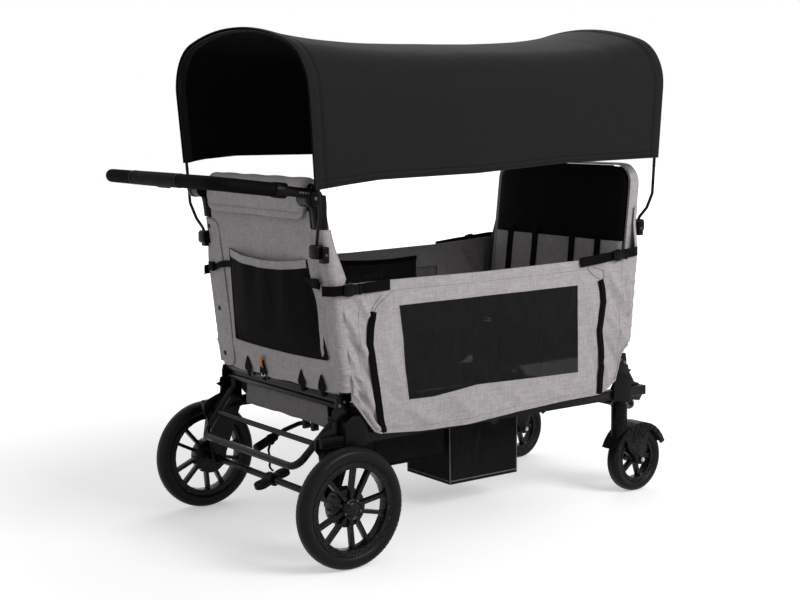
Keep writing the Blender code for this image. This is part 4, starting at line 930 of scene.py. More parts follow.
def makeCanopy():
    span = endX("front", -0.058) - endX("rear", -0.061)
    edge = canopy["past"] / span
    shares = [-edge, -edge * 0.8, -edge * 0.4] + [i * 0.004 / span for i in range(8)]
    shares += [0.034 + (0.966 - 0.034) * i / 62 for i in range(63)]
    shares += [1 - s for s in shares[10::-1]]
    lift = canopy["clear"] + canopy["thick"]
    rows = [canopyRow(share, lift + sleeveLift(share, span)) for share in shares]
    sheet = gridSheet("canopy", rows, flip=True)
    # the sheet's inner face gets the darker canopy cloth, painted shade under the canopy
    thicken(sheet, canopy["thick"], -1.0, lining=True)
    dress(sheet, "canopy", "rear_end", ["canopy_sheet"], angle=70, lining="canopyInsideShade")
    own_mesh(sheet)

    for end, ride in bothEnds:
        # the sleeve's inner layer, sewn to the sheet behind the rod
        bands = []
        for away, depth in ((-0.8, -0.0092), (-0.35, -0.0097), (0.0, -0.01), (1.0, -0.0092), (1.9, -0.006),
                            (2.3, -0.003)):
            share = away * canopy["past"] / span
            bands.append(canopyRow(share if end == "rear" else 1 - share, lift + depth))
        lining = gridSheet(f"canopy_sleeve_{end}", bands)
        thicken(lining, 0.0012, 0.0)
        dress(lining, "canopy", ride, angle=70)
        seams = []
        for away in (canopy["sleeve"] - 0.002, canopy["sleeve"] + 0.004):
            share = away / span if end == "rear" else 1 - away / span
            route = canopyRow(share, lift + sleeveLift(share, span) + 0.0002)
            seams.append(stitched(f"seam_{end}", route, "webbing"))
        stitches = joined(f"canopy_stitches_{end}", seams)
        dress(stitches, "webbing", ride)
    hems = []
    for j in (1, -2):
        for share in (0.35, 0.75):
            route = [row[j] * (1 - share) + row[0 if j == 1 else -1] * share for row in rows[4:-4]]
            outward = Vector((0, -0.0003 if j == 1 else 0.0003, 0))
            hems.append(stitched("hem", [p + outward for p in route], "webbing"))
    stitches = joined("canopy_hem_stitches", hems)
    dress(stitches, "webbing", "rear_end")
    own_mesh(stitches)


def makeArches():
    for end, ride in bothEnds:
        half = archFoot(end)[:-1] + archCrown(end)
        foot = bentRun([Vector(p) for p in half[:4]] + [Vector(half[6])], 0.012, 5)
        half = [tuple(p) for p in foot[:-1]] + half[5:]
        route = [endPoint(end, d, -y, z) for d, y, z in half] + [endPoint(end, d, y, z)
                                                                 for d, y, z in half[-2::-1]]
        arch = sweep(f"arch_rod_{end}", route, canopy["archR"], sides=14)
        dress(arch, "satinBlack", ride, [f"canopy_arch_{end}"])


makeCanopy()
makeArches()


# side cloth
sideCloth = {
    "out": 0.303, "thick": 0.0024, "wrapR": 0.022, "wrapY": 0.281, "wrapIn": 0.261, "wingTop": 0.803,
    "hem": ((-0.3936, 0.4115), (-0.3736, 0.3993), (-0.3507, 0.3721), (-0.3277, 0.3397), (-0.3045, 0.3095),
            (-0.2867, 0.3028), (-0.165, 0.2926), (-0.0167, 0.2884), (0.1567, 0.2991), (0.3, 0.306),
            (0.4449, 0.308), (0.4709, 0.3199), (0.5006, 0.3383), (0.508, 0.3595), (0.5254, 0.4126), (0.5528, 0.4399)),
    "top": ((-0.3946, 0.673), (-0.252, 0.674), (0.06, 0.671), (0.373, 0.675), (0.5815, 0.685)),
    "rearZip": ((0.306, -0.2792), (0.35, -0.288), (0.434, -0.2996), (0.5211, -0.3145), (0.56, -0.312),
                (0.6037, -0.3037), (0.68, -0.29)),
    "frontZip": ((0.3153, 0.4412), (0.3801, 0.4484), (0.43, 0.4465), (0.4816, 0.4406), (0.52, 0.448),
                 (0.556, 0.455), (0.59, 0.452), (0.6164, 0.4438), (0.68, 0.424)),
    "windowRear": ((0.3, -0.19), (0.3751, -0.2003), (0.45, -0.211), (0.53, -0.216), (0.61, -0.227), (0.68, -0.23)),
    "windowFront": ((0.3, 0.365), (0.3736, 0.3659), (0.61, 0.3633), (0.68, 0.363)),
    "windowLow": ((-0.23, 0.3725), (-0.12, 0.37), (0.02, 0.3835), (0.12, 0.38), (0.37, 0.3736)),
    "windowTop": 0.6105, "windowFlat": (0.64, 0.268),
    "pocket": {"x": (-0.01, 0.285), "low": (0.548, 0.57), "top": (0.647, 0.64), "flat": (0.31, 0.1)},
    "columns": (2, 7, 3, 22, 8, 44, 8, 20, 7, 2), "rows": (14, 48, 12, 10), "keep": 0.402,
    "pucker": {"step": 0.019, "deep": 0.0048, "rear": -0.322, "front": 0.472},
    "zipTops": (0.604, 0.617), "foldSizes": (0.0008, 0.0022, 0.0026, 0.002, 0.0008),
    "folds": (((-0.308, 0.598), (-0.301, 0.612), (-0.284, 0.632), (-0.262, 0.655), (-0.254, 0.668)),
              ((-0.3, 0.598), (-0.29, 0.612), (-0.272, 0.628), (-0.25, 0.64), (-0.236, 0.645)),
              ((0.395, 0.664), (0.402, 0.648), (0.42, 0.632), (0.438, 0.624), (0.45, 0.621)),
              ((0.406, 0.667), (0.42, 0.656), (0.442, 0.648), (0.456, 0.64), (0.458, 0.618))),
    "waves": ((0.0022, 9, 7, 2.0), (0.001, 30, 22, 7.0)), "belly": 0.0035, "tuck": 0.017, "tuckFrom": 0.672,
    # creases: start (x, z), end (x, z), width, depth
    "creases": (
        ((-0.385, 0.6), (-0.325, 0.5), 0.01, 0.0034), ((-0.378, 0.56), (-0.318, 0.44), 0.011, -0.003),
        ((-0.372, 0.5), (-0.312, 0.37), 0.011, 0.0038), ((-0.35, 0.415), (-0.292, 0.325), 0.009, -0.004),
        ((-0.335, 0.37), (-0.288, 0.31), 0.008, 0.0046), ((-0.388, 0.47), (-0.352, 0.4), 0.009, 0.0036),
        ((-0.36, 0.655), (-0.315, 0.59), 0.008, 0.003), ((-0.28, 0.66), (-0.25, 0.56), 0.012, 0.002),
        ((-0.262, 0.52), (-0.225, 0.42), 0.01, 0.0022), ((-0.255, 0.4), (-0.19, 0.33), 0.01, -0.0024),
        ((-0.23, 0.365), (-0.12, 0.302), 0.012, 0.0026), ((-0.06, 0.362), (0.02, 0.3), 0.013, 0.0024),
        ((0.06, 0.372), (0.15, 0.312), 0.012, -0.0022), ((0.21, 0.372), (0.29, 0.318), 0.011, 0.0018),
        ((0.395, 0.61), (0.425, 0.5), 0.01, 0.0022), ((0.398, 0.48), (0.432, 0.36), 0.01, -0.0022),
        ((0.47, 0.64), (0.53, 0.56), 0.009, 0.0034), ((0.478, 0.585), (0.545, 0.5), 0.01, -0.0032),
        ((0.47, 0.52), (0.54, 0.44), 0.01, 0.0036), ((0.465, 0.455), (0.505, 0.39), 0.008, -0.0034),
        ((0.46, 0.4), (0.475, 0.33), 0.007, 0.003), ((0.548, 0.65), (0.556, 0.48), 0.006, 0.0026),
    ),
}


crease = {"gain": 2.2, "past": 0.25, "fade": 0.4}


def creaseLift(x, z, creases):
    # how far straight creases with soft ends lift the cloth at a place
    past, fade = crease["past"], crease["fade"]
    total = 0.0
    for (ax, az), (bx, bz), width, depth in creases:
        dx, dz = bx - ax, bz - az
        length = hypot(dx, dz)
        t = ((x - ax) * dx + (z - az) * dz) / length ** 2
        if -past < t < 1 + past:
            off = abs((x - ax) * dz - (z - az) * dx) / length
            ends = ease((t + past) / fade) * ease((1 + past - t) / fade)
            total += crease["gain"] * depth * exp(-(off / width) ** 2) * ends
    return total


def puckers(x, z, side):
    # slanting puckers between each zip and the corner beside it
    p = sideCloth["pucker"]
    if p["rear"] < x < p["front"]:
        return 0.0
    rear = x <= p["rear"]
    near = ease((p["rear"] - x) / 0.022) if rear else ease((x - p["front"]) / 0.022)
    fade = near * ease((0.665 - z) / 0.06)
    turn = 3.2 * ripple(x * 9, z * 6, 11.0 + side)
    place = (0.74 * x + 0.67 * z if rear else 0.7 * x - 0.71 * z) / p["step"]
    ridge = (1 - abs(sin(pi * place + turn))) ** 1.5
    strength = 0.55 + 0.9 * ripple(x * 14, z * 11, 4.0 + side)
    return p["deep"] * fade * max(0.15, strength) * (ridge - 0.35)


def sidePoint(column, x, z, side):
    # column -1 is at the rear wrap, +1 at the front wrap, 0 on the flat; x is its place on the flat
    c = sideCloth
    y, placeX = c["out"], x
    if column:
        end = "rear" if column < 0 else "front"
        inward = -1 if column < 0 else 1
        axis = endX(end, postLine(z) + 0.004)
        share = abs(column) - 1
        angle = min(share, 1.0) * pi / 2
        placeX = axis + inward * c["wrapR"] * sin(angle)
        y = c["wrapY"] + c["wrapR"] * cos(angle)
        if share > 1:
            y = mix(c["wrapY"], c["wrapIn"], share - 1)
    lift = 0.0
    if not column or abs(column) < 1.6:
        lift = creaseLift(x, z, c["creases"]) + puckers(x, z, side)
        for height, alongX, alongZ, seed in c["waves"]:
            lift += height * ripple(x * alongX, z * alongZ, seed + side)
        if not column:
            mid = max(0.0, 1 - abs(x - 0.07) / 0.36)
            lift += c["belly"] * ease(mid * 1.6) * sin(pi * min(max((z - 0.29) / 0.38, 0), 1))
    if z > c["tuckFrom"]:
        y -= c["tuck"] * ease((z - c["tuckFrom"]) / 0.1)
    if column and abs(column) >= 1:
        push = Vector((placeX - endX(end, postLine(z) + 0.004), y - c["wrapY"], 0))
        if abs(column) <= 2 and push.length > 1e-6:
            push.normalize()
            return Vector((placeX + push.x * lift * 0.6, side * (y + push.y * lift * 0.6), z))
        return Vector((placeX, side * y, z))
    return Vector((placeX, side * (y + lift), z))


def sideGrid(side):
    c = sideCloth
    segments = c["columns"]
    bars = [sum(segments[:i]) for i in range(len(segments) + 1)]
    levels = c["rows"]
    steps = [sum(levels[:i]) for i in range(len(levels) + 1)]
    total = bars[-1]

    def flatX(j, z):
        rearCorner, frontCorner = endX("rear", postLine(z) + 0.004), endX("front", postLine(z) + 0.004)
        wing = along(((0.684, -0.3973), (0.803, -0.4277)), z) + (0.018 if z > 0.684 else 0.012)
        keys = {2: rearCorner, 3: max(wing, rearCorner + 0.004),
                4: along(c["rearZip"], z), 5: along(c["windowRear"], z), 6: along(c["windowFront"], z),
                7: along(c["frontZip"], z), 8: frontCorner}
        for k in range(2, 8):
            if bars[k] <= j <= bars[k + 1]:
                return mix(keys[k], keys[k + 1], (j - bars[k]) / segments[k])

    def place(j, z):
        if j <= bars[2]:
            if j <= bars[1]:
                return -(3 - j / segments[0]), None
            return -(2 - (j - bars[1]) / segments[1]), None
        if j >= bars[8]:
            if j >= bars[9]:
                return 2 + (j - bars[9]) / segments[9], None
            return 1 + (j - bars[8]) / segments[8], None
        return 0, flatX(j, z)

    rows = []
    for i in range(steps[-1] + 1):
        row = []
        for j in range(total + 1):
            z = 0.5
            for again in range(3):
                # the hem and top depend on where the column is at this height
                code, x = place(j, z)
                at = x
                if x is None:
                    at = endX("rear", postLine(z)) - 0.012 if code < 0 else endX("front", postLine(z)) + 0.012
                    low = 0.4115 if code < 0 else 0.436
                else:
                    low = along(c["hem"], at)
                high = along(c["top"], at)
                windowLow = max(along(c["windowLow"], at), low + 0.16 * (high - low))
                marks = [low, windowLow, c["windowTop"], high, c["wingTop"]]
                for k in range(4):
                    if steps[k] <= i <= steps[k + 1]:
                        z = mix(marks[k], marks[k + 1], (i - steps[k]) / levels[k])
                        break
            code, x = place(j, z)
            at = x if x is not None else at
            row.append(sidePoint(code, at, z, side))
        rows.append(row)
    return rows, bars, steps


def sideZips(rows, bars, steps, side, out):
    # tape, teeth, slider and pull of both zips
    tapes, teeth = [], []
    for bar, top in zip((bars[4], bars[7]), sideCloth["zipTops"]):
        route = [row[bar] + out * 2.6 for row in rows[:steps[3]] if row[bar].z < top]
        tapes.append(sweep("tape", route, flat=(0.0215, 0.0016), up=(0, side, 0)))
        lifted = [p + out * 1.2 for p in route]
        teeth.append(beads("teeth", lifted, 0.002, (0.0011, 0.004, 0.0016), "softPlastic"))
        slider, half = lifted[-2], Vector((0.0035, 0.0018, 0.006))
        tapes.append(block("slider", slider - half, slider + half, 0.001))
        tapes.append(block("pull", slider + Vector((-0.002, side * 0.0022 - 0.0006, -0.024)),
                           slider + Vector((0.002, side * 0.0022 + 0.0006, -0.006)), 0.0005))
    return tapes, teeth


def sideSeams(rows, bars, steps, out):
    # double seams along the hem, the top edge and beside the corners
    lines = [rows[i][first:last + 1] for i, first, last in
             ((2, bars[2], bars[8]), (steps[3] - 5, bars[3], bars[7]), (steps[3], bars[3], bars[7]))]
    lines += [[row[j] for row in rows[1:steps[3]]] for j in (bars[3] + 11, bars[7] + 13)]
    lines.append([row[bars[3]] - Vector((0.003, 0, 0)) for row in rows[steps[3] + 1:]])
    return [stitched("seam", [p + out * 0.3 for p in line], "greyShade") for line in lines]


def windowBorder(rows, bars, steps, side, out):
    low, high, rear, front = steps[1], steps[2], bars[5], bars[6]
    outline = [row[rear] for row in rows[low:high + 1]] + rows[high][rear:front + 1]
    outline += [row[front] for row in rows[high:low - 1:-1]] + rows[low][front:rear - 1:-1]
    return sweep("border", [p - out * 0.4 for p in outline[:-1]], flat=(0.0034, 0.0022), up=(0, side, 0),
                 closed=True)


def zipFolds(rows, bars, side, out):
    # ridges over the tops of the zips, and the bead of the hem
    folds, sizes = [], tuple(enumerate(sideCloth["foldSizes"]))
    for spots in sideCloth["folds"]:
        ridge = smoothRun([sidePoint(0, x, z, side) + out for x, z in spots], 4)
        folds.append(sweep("fold", ridge, [along(sizes, k / 4) for k in range(len(ridge))], sides=8))
    folds.append(sweep("hem", [p + out * 0.4 for p in rows[0][bars[2]:bars[8] + 1]], 0.0024, sides=8))
    return folds


def pouchPoints(side):
    # the inner mesh pocket, which stands off the cloth and sags at its rim
    facts, rows = sideCloth["pocket"], []
    for i in range(9):
        v, row = i / 8, []
        for j in range(25):
            u = j / 24
            z = mix(mix(*facts["low"], u), mix(*facts["top"], u), v) - 0.006 * sin(pi * u) * v
            away = 0.0045 + 0.01 * sin(pi * u) * sin(pi * (0.15 + 0.7 * v))
            row.append(sidePoint(0, mix(*facts["x"], u), z, side) + Vector((0, -side * away, 0)))
        rows.append(row)
    return rows


def makeSide(side):
    c, word = sideCloth, sideWord[side]
    rows, bars, steps = sideGrid(side)

    def isCloth(i, j):
        if i >= steps[3] and bars[3] <= j < bars[8]:
            return False
        return not (steps[1] <= i < steps[2] and bars[5] <= j < bars[6])

    def isWindow(i, j):
        return steps[1] - 1 <= i <= steps[2] and bars[5] - 1 <= j <= bars[6]

    cloth = gridSheet(f"side_cloth_{word}", rows, keep=isCloth, flip=side == left)
    inner = [[Vector((p.x, p.y - side * 0.0016, p.z)) for p in row] for row in rows]
    window = gridSheet(f"side_window_{word}", inner, keep=isWindow, flip=side == left)
    # the inner face gets the grey_shadow cloth, painted shade inside the wagon
    thicken(cloth, c["thick"], -1.0, lining=True)
    dress(cloth, "greyCloth", "rear_end", [f"side_panel_{word}"], angle=60, lining="greyShade")
    thicken(window, 0.0006, 0.0)
    dress(window, "windowMesh", "rear_end", angle=60)
    out = Vector((0, side * 0.0008, 0))
    tapes, teeth = sideZips(rows, bars, steps, side, out)
    seams = sideSeams(rows, bars, steps, out)
    border = windowBorder(rows, bars, steps, side, out)
    folds = dress(joined(f"zip_folds_{word}", zipFolds(rows, bars, side, out)), "greyCloth", "rear_end")
    pouchRows = pouchPoints(side)
    pouch = gridSheet(f"inner_pocket_{word}", pouchRows, flip=side == right)
    thicken(pouch, 0.001, 0.0)
    dress(pouch, "windowMesh", "rear_end", angle=60)
    rim = [p + Vector((0, -side * 0.001, 0)) for p in pouchRows[-1]]
    band = dress(sweep("band", rim, flat=(0.014, 0.0026), up=(0, -side, 0)), "blackTape", "rear_end",
                 name=f"inner_pocket_band_{word}")
    trims = [folds, dress(joined(f"side_zips_{word}", tapes), "blackTape", "rear_end"),
             dress(joined(f"side_zip_teeth_{word}", teeth), "softPlastic", "rear_end"),
             dress(joined(f"side_seams_{word}", seams), "greyShade", "rear_end"),
             dress(border, "greyCloth", "rear_end", name=f"side_window_border_{word}")]
    for piece in [cloth, window, band, pouch] + trims:
        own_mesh(piece)


for side in allSides:
    makeSide(side)
print("side cloth: made")


# cloth at the two ends
endCloth = {
    "low": 0.404, "shoulder": 0.792, "top": 0.846, "half": 0.2725, "neck": 0.236, "thick": 0.0024, "behind": 0.0178,
    "pocketLow": 0.486, "pocketTop": 0.728, "pocketHalf": (0.214, 0.18), "bulge": 0.019, "hemDrop": 0.021,
    "stripHalf": (0.206, 0.259), "stripTop": 0.8, "snapZ": (0.781, 0.68, 0.56, 0.438), "snap": 0.0055,
    "footTabs": (0.131, 0.056, -0.126, -0.216), "creases": (
        ((-0.18, 0.8), (-0.14, 0.72), 0.016, 0.0016), ((0.03, 0.83), (0.05, 0.74), 0.018, -0.0014),
        ((-0.22, 0.46), (-0.1, 0.42), 0.012, 0.0018), ((0.1, 0.44), (0.2, 0.47), 0.012, 0.0018),
        ((-0.24, 0.62), (-0.23, 0.5), 0.008, 0.002), ((-0.235, 0.78), (-0.225, 0.66), 0.01, 0.0022)),
}


def panelBack(z):
    return postLine(z) - endCloth["behind"]


def panelPoint(end, y, z, out=0.0):
    return endPoint(end, panelBack(z) - out, y, z)


def endSheet(name, end, yAt, zAt, outAt, columns, rows, thick, skin, body, nodes=(), flip=None):
    grid = []
    for i in range(rows + 1):
        v = i / rows
        grid.append([panelPoint(end, yAt(j / columns, v), zAt(j / columns, v), outAt(j / columns, v))
                     for j in range(columns + 1)])
    sheet = gridSheet(name, grid, flip=(end == "rear") if flip is None else flip)
    area = sheetArea(grid)
    width = max(sum((b - a).length for a, b in zip(row, row[1:])) for row in grid)
    height = max(sum((b[j] - a[j]).length for a, b in zip(grid, grid[1:])) for j in (0, columns // 2, columns))
    thicken(sheet, thick, -1.0)
    dress(sheet, skin, body, nodes, angle=60)
    return sheet, (round(width, 3), round(height, 3)), round(min(area, width * height), 4), grid


def makeEndPanel(end, body):
    c = endCloth

    def yAt(u, v):
        z = zAt(u, v)
        half = mix(c["half"], c["neck"], ease((z - c["shoulder"] + 0.004) / 0.012))
        return (2 * u - 1) * half

    def zAt(u, v):
        low = c["low"] + (0.002 * sin(u * 21) if end == "rear" else 0)
        return mix(low, c["top"], v)

    def outAt(u, v):
        y, z = yAt(u, v), zAt(u, v)
        lift = creaseLift(y, z, c["creases"]) + 0.0018 * ripple(y * 8, z * 7, 5.0)
        lift += 0.0006 * ripple(y * 30, z * 12, 9.0)
        tucked = -0.0035 * ease((abs(y) - 0.24) / 0.012)
        return (lift + 0.0008) * ease((0.262 - abs(y)) / 0.02) + tucked

    sheet, flat, area = endSheet(f"end_cloth_{end}", end, yAt, zAt, outAt, 48, 44, c["thick"], "greyCloth",
                                 body, [f"end_panel_{end}"])[:3]


def makeStrips(end, body):
    # folded strips that close over the posts, with press studs
    c = endCloth
    for side in allSides if end == "front" else (left,):
        inner, outer = c["stripHalf"]

        def yAt(u, v):
            return side * mix(inner - 0.004 * sin(v * pi), outer, u)

        def zAt(u, v):
            corner = 0.02 * (1 - sqrt(max(0.0, 1 - (1 - min(u / 0.5, 1)) ** 2)))
            return mix(c["low"] + 0.002 + corner, c["stripTop"] - corner, v)

        def outAt(u, v):
            return 0.0034 + 0.003 * sin(pi * min(max(u, 0.03), 0.97)) + 0.0008 * ripple(u * 3, v * 14, 3.0)

        strip, flat, area = endSheet(f"end_strip_{end}_{sideWord[side]}", end, yAt, zAt, outAt, 10, 44, 0.0022,
                                     "greyCloth", body,
                                     flip=(end == "rear") == (side == left))[:3]
        studs, s, lean = [], c["snap"], Matrix.Rotation(wagonLean(end), 4, "Y")
        for z in c["snapZ"]:
            place = panelPoint(end, side * (outer - 0.012), z, 0.0062)
            stud = block("stud", (-0.0018, -s, -s), (0.0018, s, s), 0.0012)
            cap = spun("cap", [(0.0, -0.003), (0.0036, -0.003), (0.0042, -0.0018), (0.0042, 0.0)], 16,
                       turn=Matrix.Rotation(pi / 2 * (1 if end == "rear" else -1), 4, "Z"), closed=False)
            studs += [moved(piece, place, lean) for piece in (stud, cap)]
        dress(joined(f"press_studs_{end}_{sideWord[side]}", studs), "softPlastic", body)


def wagonLean(end):
    # the posts' lean as a turn about Y
    return -atan(wagon["postLean"]) if end == "rear" else atan(wagon["postLean"])


def makePocket():
    c = endCloth
    low, top = c["pocketLow"], c["pocketTop"]

    def half(v):
        return mix(c["pocketHalf"][0], c["pocketHalf"][1], v)

    def yAt(u, v):
        return (2 * u - 1) * half(v) - mix(0.032, 0.022, v)

    def zAt(u, v):
        sag = 0.014 * (1 - (2 * u - 1) ** 2) * v
        return mix(low - 0.005 * (1 - (2 * u - 1) ** 2) * (1 - v), top, v) - sag

    def outAt(u, v):
        across = 1 - abs(2 * u - 1) ** 4
        swell = sin(pi * min(0.08 + v * 0.8, 1)) ** 0.6
        folds = 0.0024 * sin(u * 24 + 2 * v) * v * across + 0.002 * ripple(u * 5, v * 4, 1.0)
        return 0.0012 + c["bulge"] * across * (0.35 + 0.65 * swell) * min(1, 0.15 + v * 4) + folds * across

    pocket, flat, area, grid = endSheet("rear_pocket", "rear", yAt, zAt, outAt, 44, 30, 0.002, "blackCloth",
                                        "rear_end")
    drop = c["hemDrop"]

    def hemZ(u, v):
        return zAt(u, 1) - drop * (1 - v)

    def hemOut(u, v):
        share = (hemZ(u, v) - low) / (top - low)
        return outAt(u, share) + 0.0014 + 0.0012 * sin(pi * v)

    hem, hemGrid = endSheet("pocket_hem", "rear", lambda u, v: yAt(u, 1) * 1.004, hemZ, hemOut, 44, 4, 0.0022,
                            "greyCloth", "rear_end")[::3]
    sides = [sweep("edge", [row[j] + Vector((-0.0006, 0, 0)) for row in grid], flat=(0.011, 0.002),
                   up=(-1, 0, 0.1)) for j in (0, -1)]
    sides.append(sweep("edge", [p + Vector((-0.0006, 0, 0.003)) for p in grid[0]], flat=(0.009, 0.002),
                       up=(-1, 0, 0.1)))
    binding = dress(joined("pocket_binding", sides), "blackTape", "rear_end")
    lines = [stitched("line", [p + Vector((-0.0009, 0, 0)) for p in hemGrid[i]], "greyShade") for i in (0, 4)]
    seams = dress(joined("pocket_seams", lines), "greyShade", "rear_end")
    # short straps from the pocket's corners to the side buckles
    straps = []
    for side in allSides:
        start = grid[-6][-1 if side == left else 0]
        spots = [start + Vector((-0.001, -side * 0.004, 0)), panelPoint("rear", side * 0.205, 0.682, 0.009),
                 panelPoint("rear", side * 0.235, 0.672, 0.01), panelPoint("rear", side * 0.262, 0.668, 0.0085)]
        straps.append(sweep("strap", smoothRun(spots, 5), flat=(0.017, 0.0018), up=(-1, 0, 0.1)))
        tab = block("tab", (-0.003, -0.013, -0.012), (0.003, 0.013, 0.012), 0.0015)
        straps.append(moved(tab, panelPoint("rear", side * 0.25, 0.674, 0.0125)))
    dress(joined("pocket_straps", straps), "webbing", "rear_end")


def makeFootTabs(end, body):
    # webbing loops that hold the end cloth down to the cross channel
    c = endCloth
    loops, rings = [], []
    for y in c["footTabs"]:
        # a folded triangle of webbing, wide where it goes under the channel's lip
        shape = [(0.0015, 0.4455, 0.0036), (0.0056, 0.438, 0.0046), (0.0105, 0.428, 0.0056),
                 (0.015, 0.417, 0.0062), (0.0158, 0.407, 0.0054)]
        rows = [[panelPoint(end, y + half * share, z, out) for share in (-1, -0.5, 0, 0.5, 1)]
                for half, z, out in shape]
        patch = gridSheet("tab", rows, flip=end == "rear")
        loops.append(thicken(patch, 0.002, -1.0))
        loops.append(sweep("loop", [panelPoint(end, y, 0.41, 0.0062), endPoint(end, 0.012, y, 0.399),
                                    endPoint(end, 0.013, y, 0.391)], flat=(0.016, 0.0018),
                           up=(-1 if end == "rear" else 1, 0, 0.1)))
        rings.append(sweep("ring", [panelPoint(end, y + half, 0.414, 0.0066) for half in (-0.01, 0.01)], 0.0013,
                           sides=8))
    dress(joined(f"foot_tabs_{end}", loops), "webbing", body)
    dress(joined(f"foot_tab_bars_{end}", rings), "steel", body)
    if end == "rear":
        y = c["footTabs"][1]
        spots = [(y, 0.449, 0.005), (y - 0.004, 0.452, 0.011), (y - 0.004, 0.44, 0.013),
                 (y - 0.001, 0.427, 0.0095)]
        tag = sweep("care_tag", smoothRun([panelPoint(end, *spot) for spot in spots], 5), flat=(0.011, 0.0016),
                    up=(-1, 0, 0.3))
        dress(tag, "orangeTape", body, name="pull_tag")
        hook = [endPoint(end, d, y + aside, z) for d, aside, z in
                ((0.011, -0.008, 0.418), (0.008, -0.008, 0.403), (0.008, 0.008, 0.403), (0.011, 0.008, 0.418))]
        dress(sweep("tag_ring", bentRun(hook, 0.003, 4), 0.0012, sides=8), "steel", body,
              name="tag_ring")


roll = {"half": 0.232, "flapLow": 0.828, "corner": 0.032, "pad": 0.0125, "inner": 0.0131}


def rollLow(y):
    # the flap's lower edge, rounded at its corners
    past = max(0.0, (abs(y) - (roll["half"] - roll["corner"])) / roll["corner"])
    return roll["flapLow"] + roll["corner"] * (1 - sqrt(max(0.0, 1 - past ** 2)))


def makeRoll():
    # padded roll over the top bar with its flap down the outer side
    r = roll
    bar, barZ = postLine(wagon["postTop"]), wagon["postTop"]
    columns, loops = 64, []
    for j in range(columns + 1):
        y = r["half"] * (2 * j / columns - 1)
        low = rollLow(y)
        plump = sqrt(max(0.03, 1 - max(0.0, (abs(y) - (r["half"] - 0.014)) / 0.014) ** 2))
        depth = r["pad"] * (0.35 + 0.65 * plump)
        puff = 0.0014 * ripple(y * 9, 0, 2.0) + 0.001 * sin(y * 55)
        outer, inner = [], []
        for k in range(5):
            z = mix(barZ - 0.034, barZ, k / 4)
            outer.append((bar + r["inner"] + depth, z))
            inner.append((bar + r["inner"] + 0.0005, z))
        for k in range(1, 12):
            angle = pi * k / 12
            reach = r["inner"] + depth + puff
            outer.append((bar + reach * cos(angle), barZ + reach * sin(angle)))
            inner.append((bar + r["inner"] * cos(angle), barZ + r["inner"] * sin(angle)))
        for k in range(11):
            z = mix(barZ, low, k / 10)
            share = k / 10
            slack = 0.003 * sin(pi * share) + 0.0022 * share * ripple(y * 12, z * 20, 8.0)
            groove = 0.0018 * exp(-((z - low - 0.014) / 0.0022) ** 2)
            outer.append((bar - r["inner"] - depth - slack + groove, z))
            inner.append((bar - r["inner"] - 0.0006 - slack * 0.4 + (0.001 if z > 0.85 else 0), z))
        loop = outer + [(outer[-1][0] + depth * 0.25, low - 0.0035),
                        (inner[-1][0] - depth * 0.2, low - 0.003)] + inner[::-1]
        loops.append([endPoint("rear", d, y, z) for d, z in loop])
    verts = [p for loop in loops for p in loop]
    n, uvs = len(loops[0]), []
    for j, loop in enumerate(loops):
        run = 0.0
        for k, p in enumerate(loop):
            run += (p - loop[k - 1]).length if k else 0.0
            uvs.append((run, p.y))
    faces = loopFaces([(j, j + 1) for j in range(columns)], n)
    faces += [tuple(range(n)), tuple(range(columns * n, columns * n + n))[::-1]]
    pad = faceOut(meshObject("top_pad_rear", verts, faces, uvs))
    dress(pad, "greyCloth", "rear_end", ["top_roll_rear"], angle=70)
    # piping along the flap's lower edge in the darker grey_shadow cloth, a painted shadow line under the roll
    rim = [endPoint("rear", bar - r["inner"] - r["pad"] * 0.55, y, rollLow(y) - 0.0022)
           for y in np.linspace(-r["half"] + 0.0012, r["half"] - 0.0012, 90)]
    dress(sweep("top_pad_piping", rim, 0.0024, sides=8), "greyShade", "rear_end")
    line = [endPoint("rear", bar - r["inner"] - r["pad"] - 0.0026, y, r["flapLow"] + 0.014)
            for y in np.linspace(-r["half"] + 0.016, r["half"] - 0.016, 30)]
    dress(beads("top_pad_seam", line, 0.0042, (0.003, 0.0008, 0.0007), "greyShade"), "greyShade",
          "rear_end", name="top_pad_seam")


backrest = {"z": {"rear": (0.482, 0.862), "front": (0.482, 0.915)}, "thick": 0.016, "half": 0.262,
            "split": 0.706, "corner": 0.062, "straps": (-0.165, -0.062, 0.092, 0.2), "strapWide": 0.024,
            "strapRun": (0.1, 0.2, 0.3, 0.4, 0.5, 0.555)}


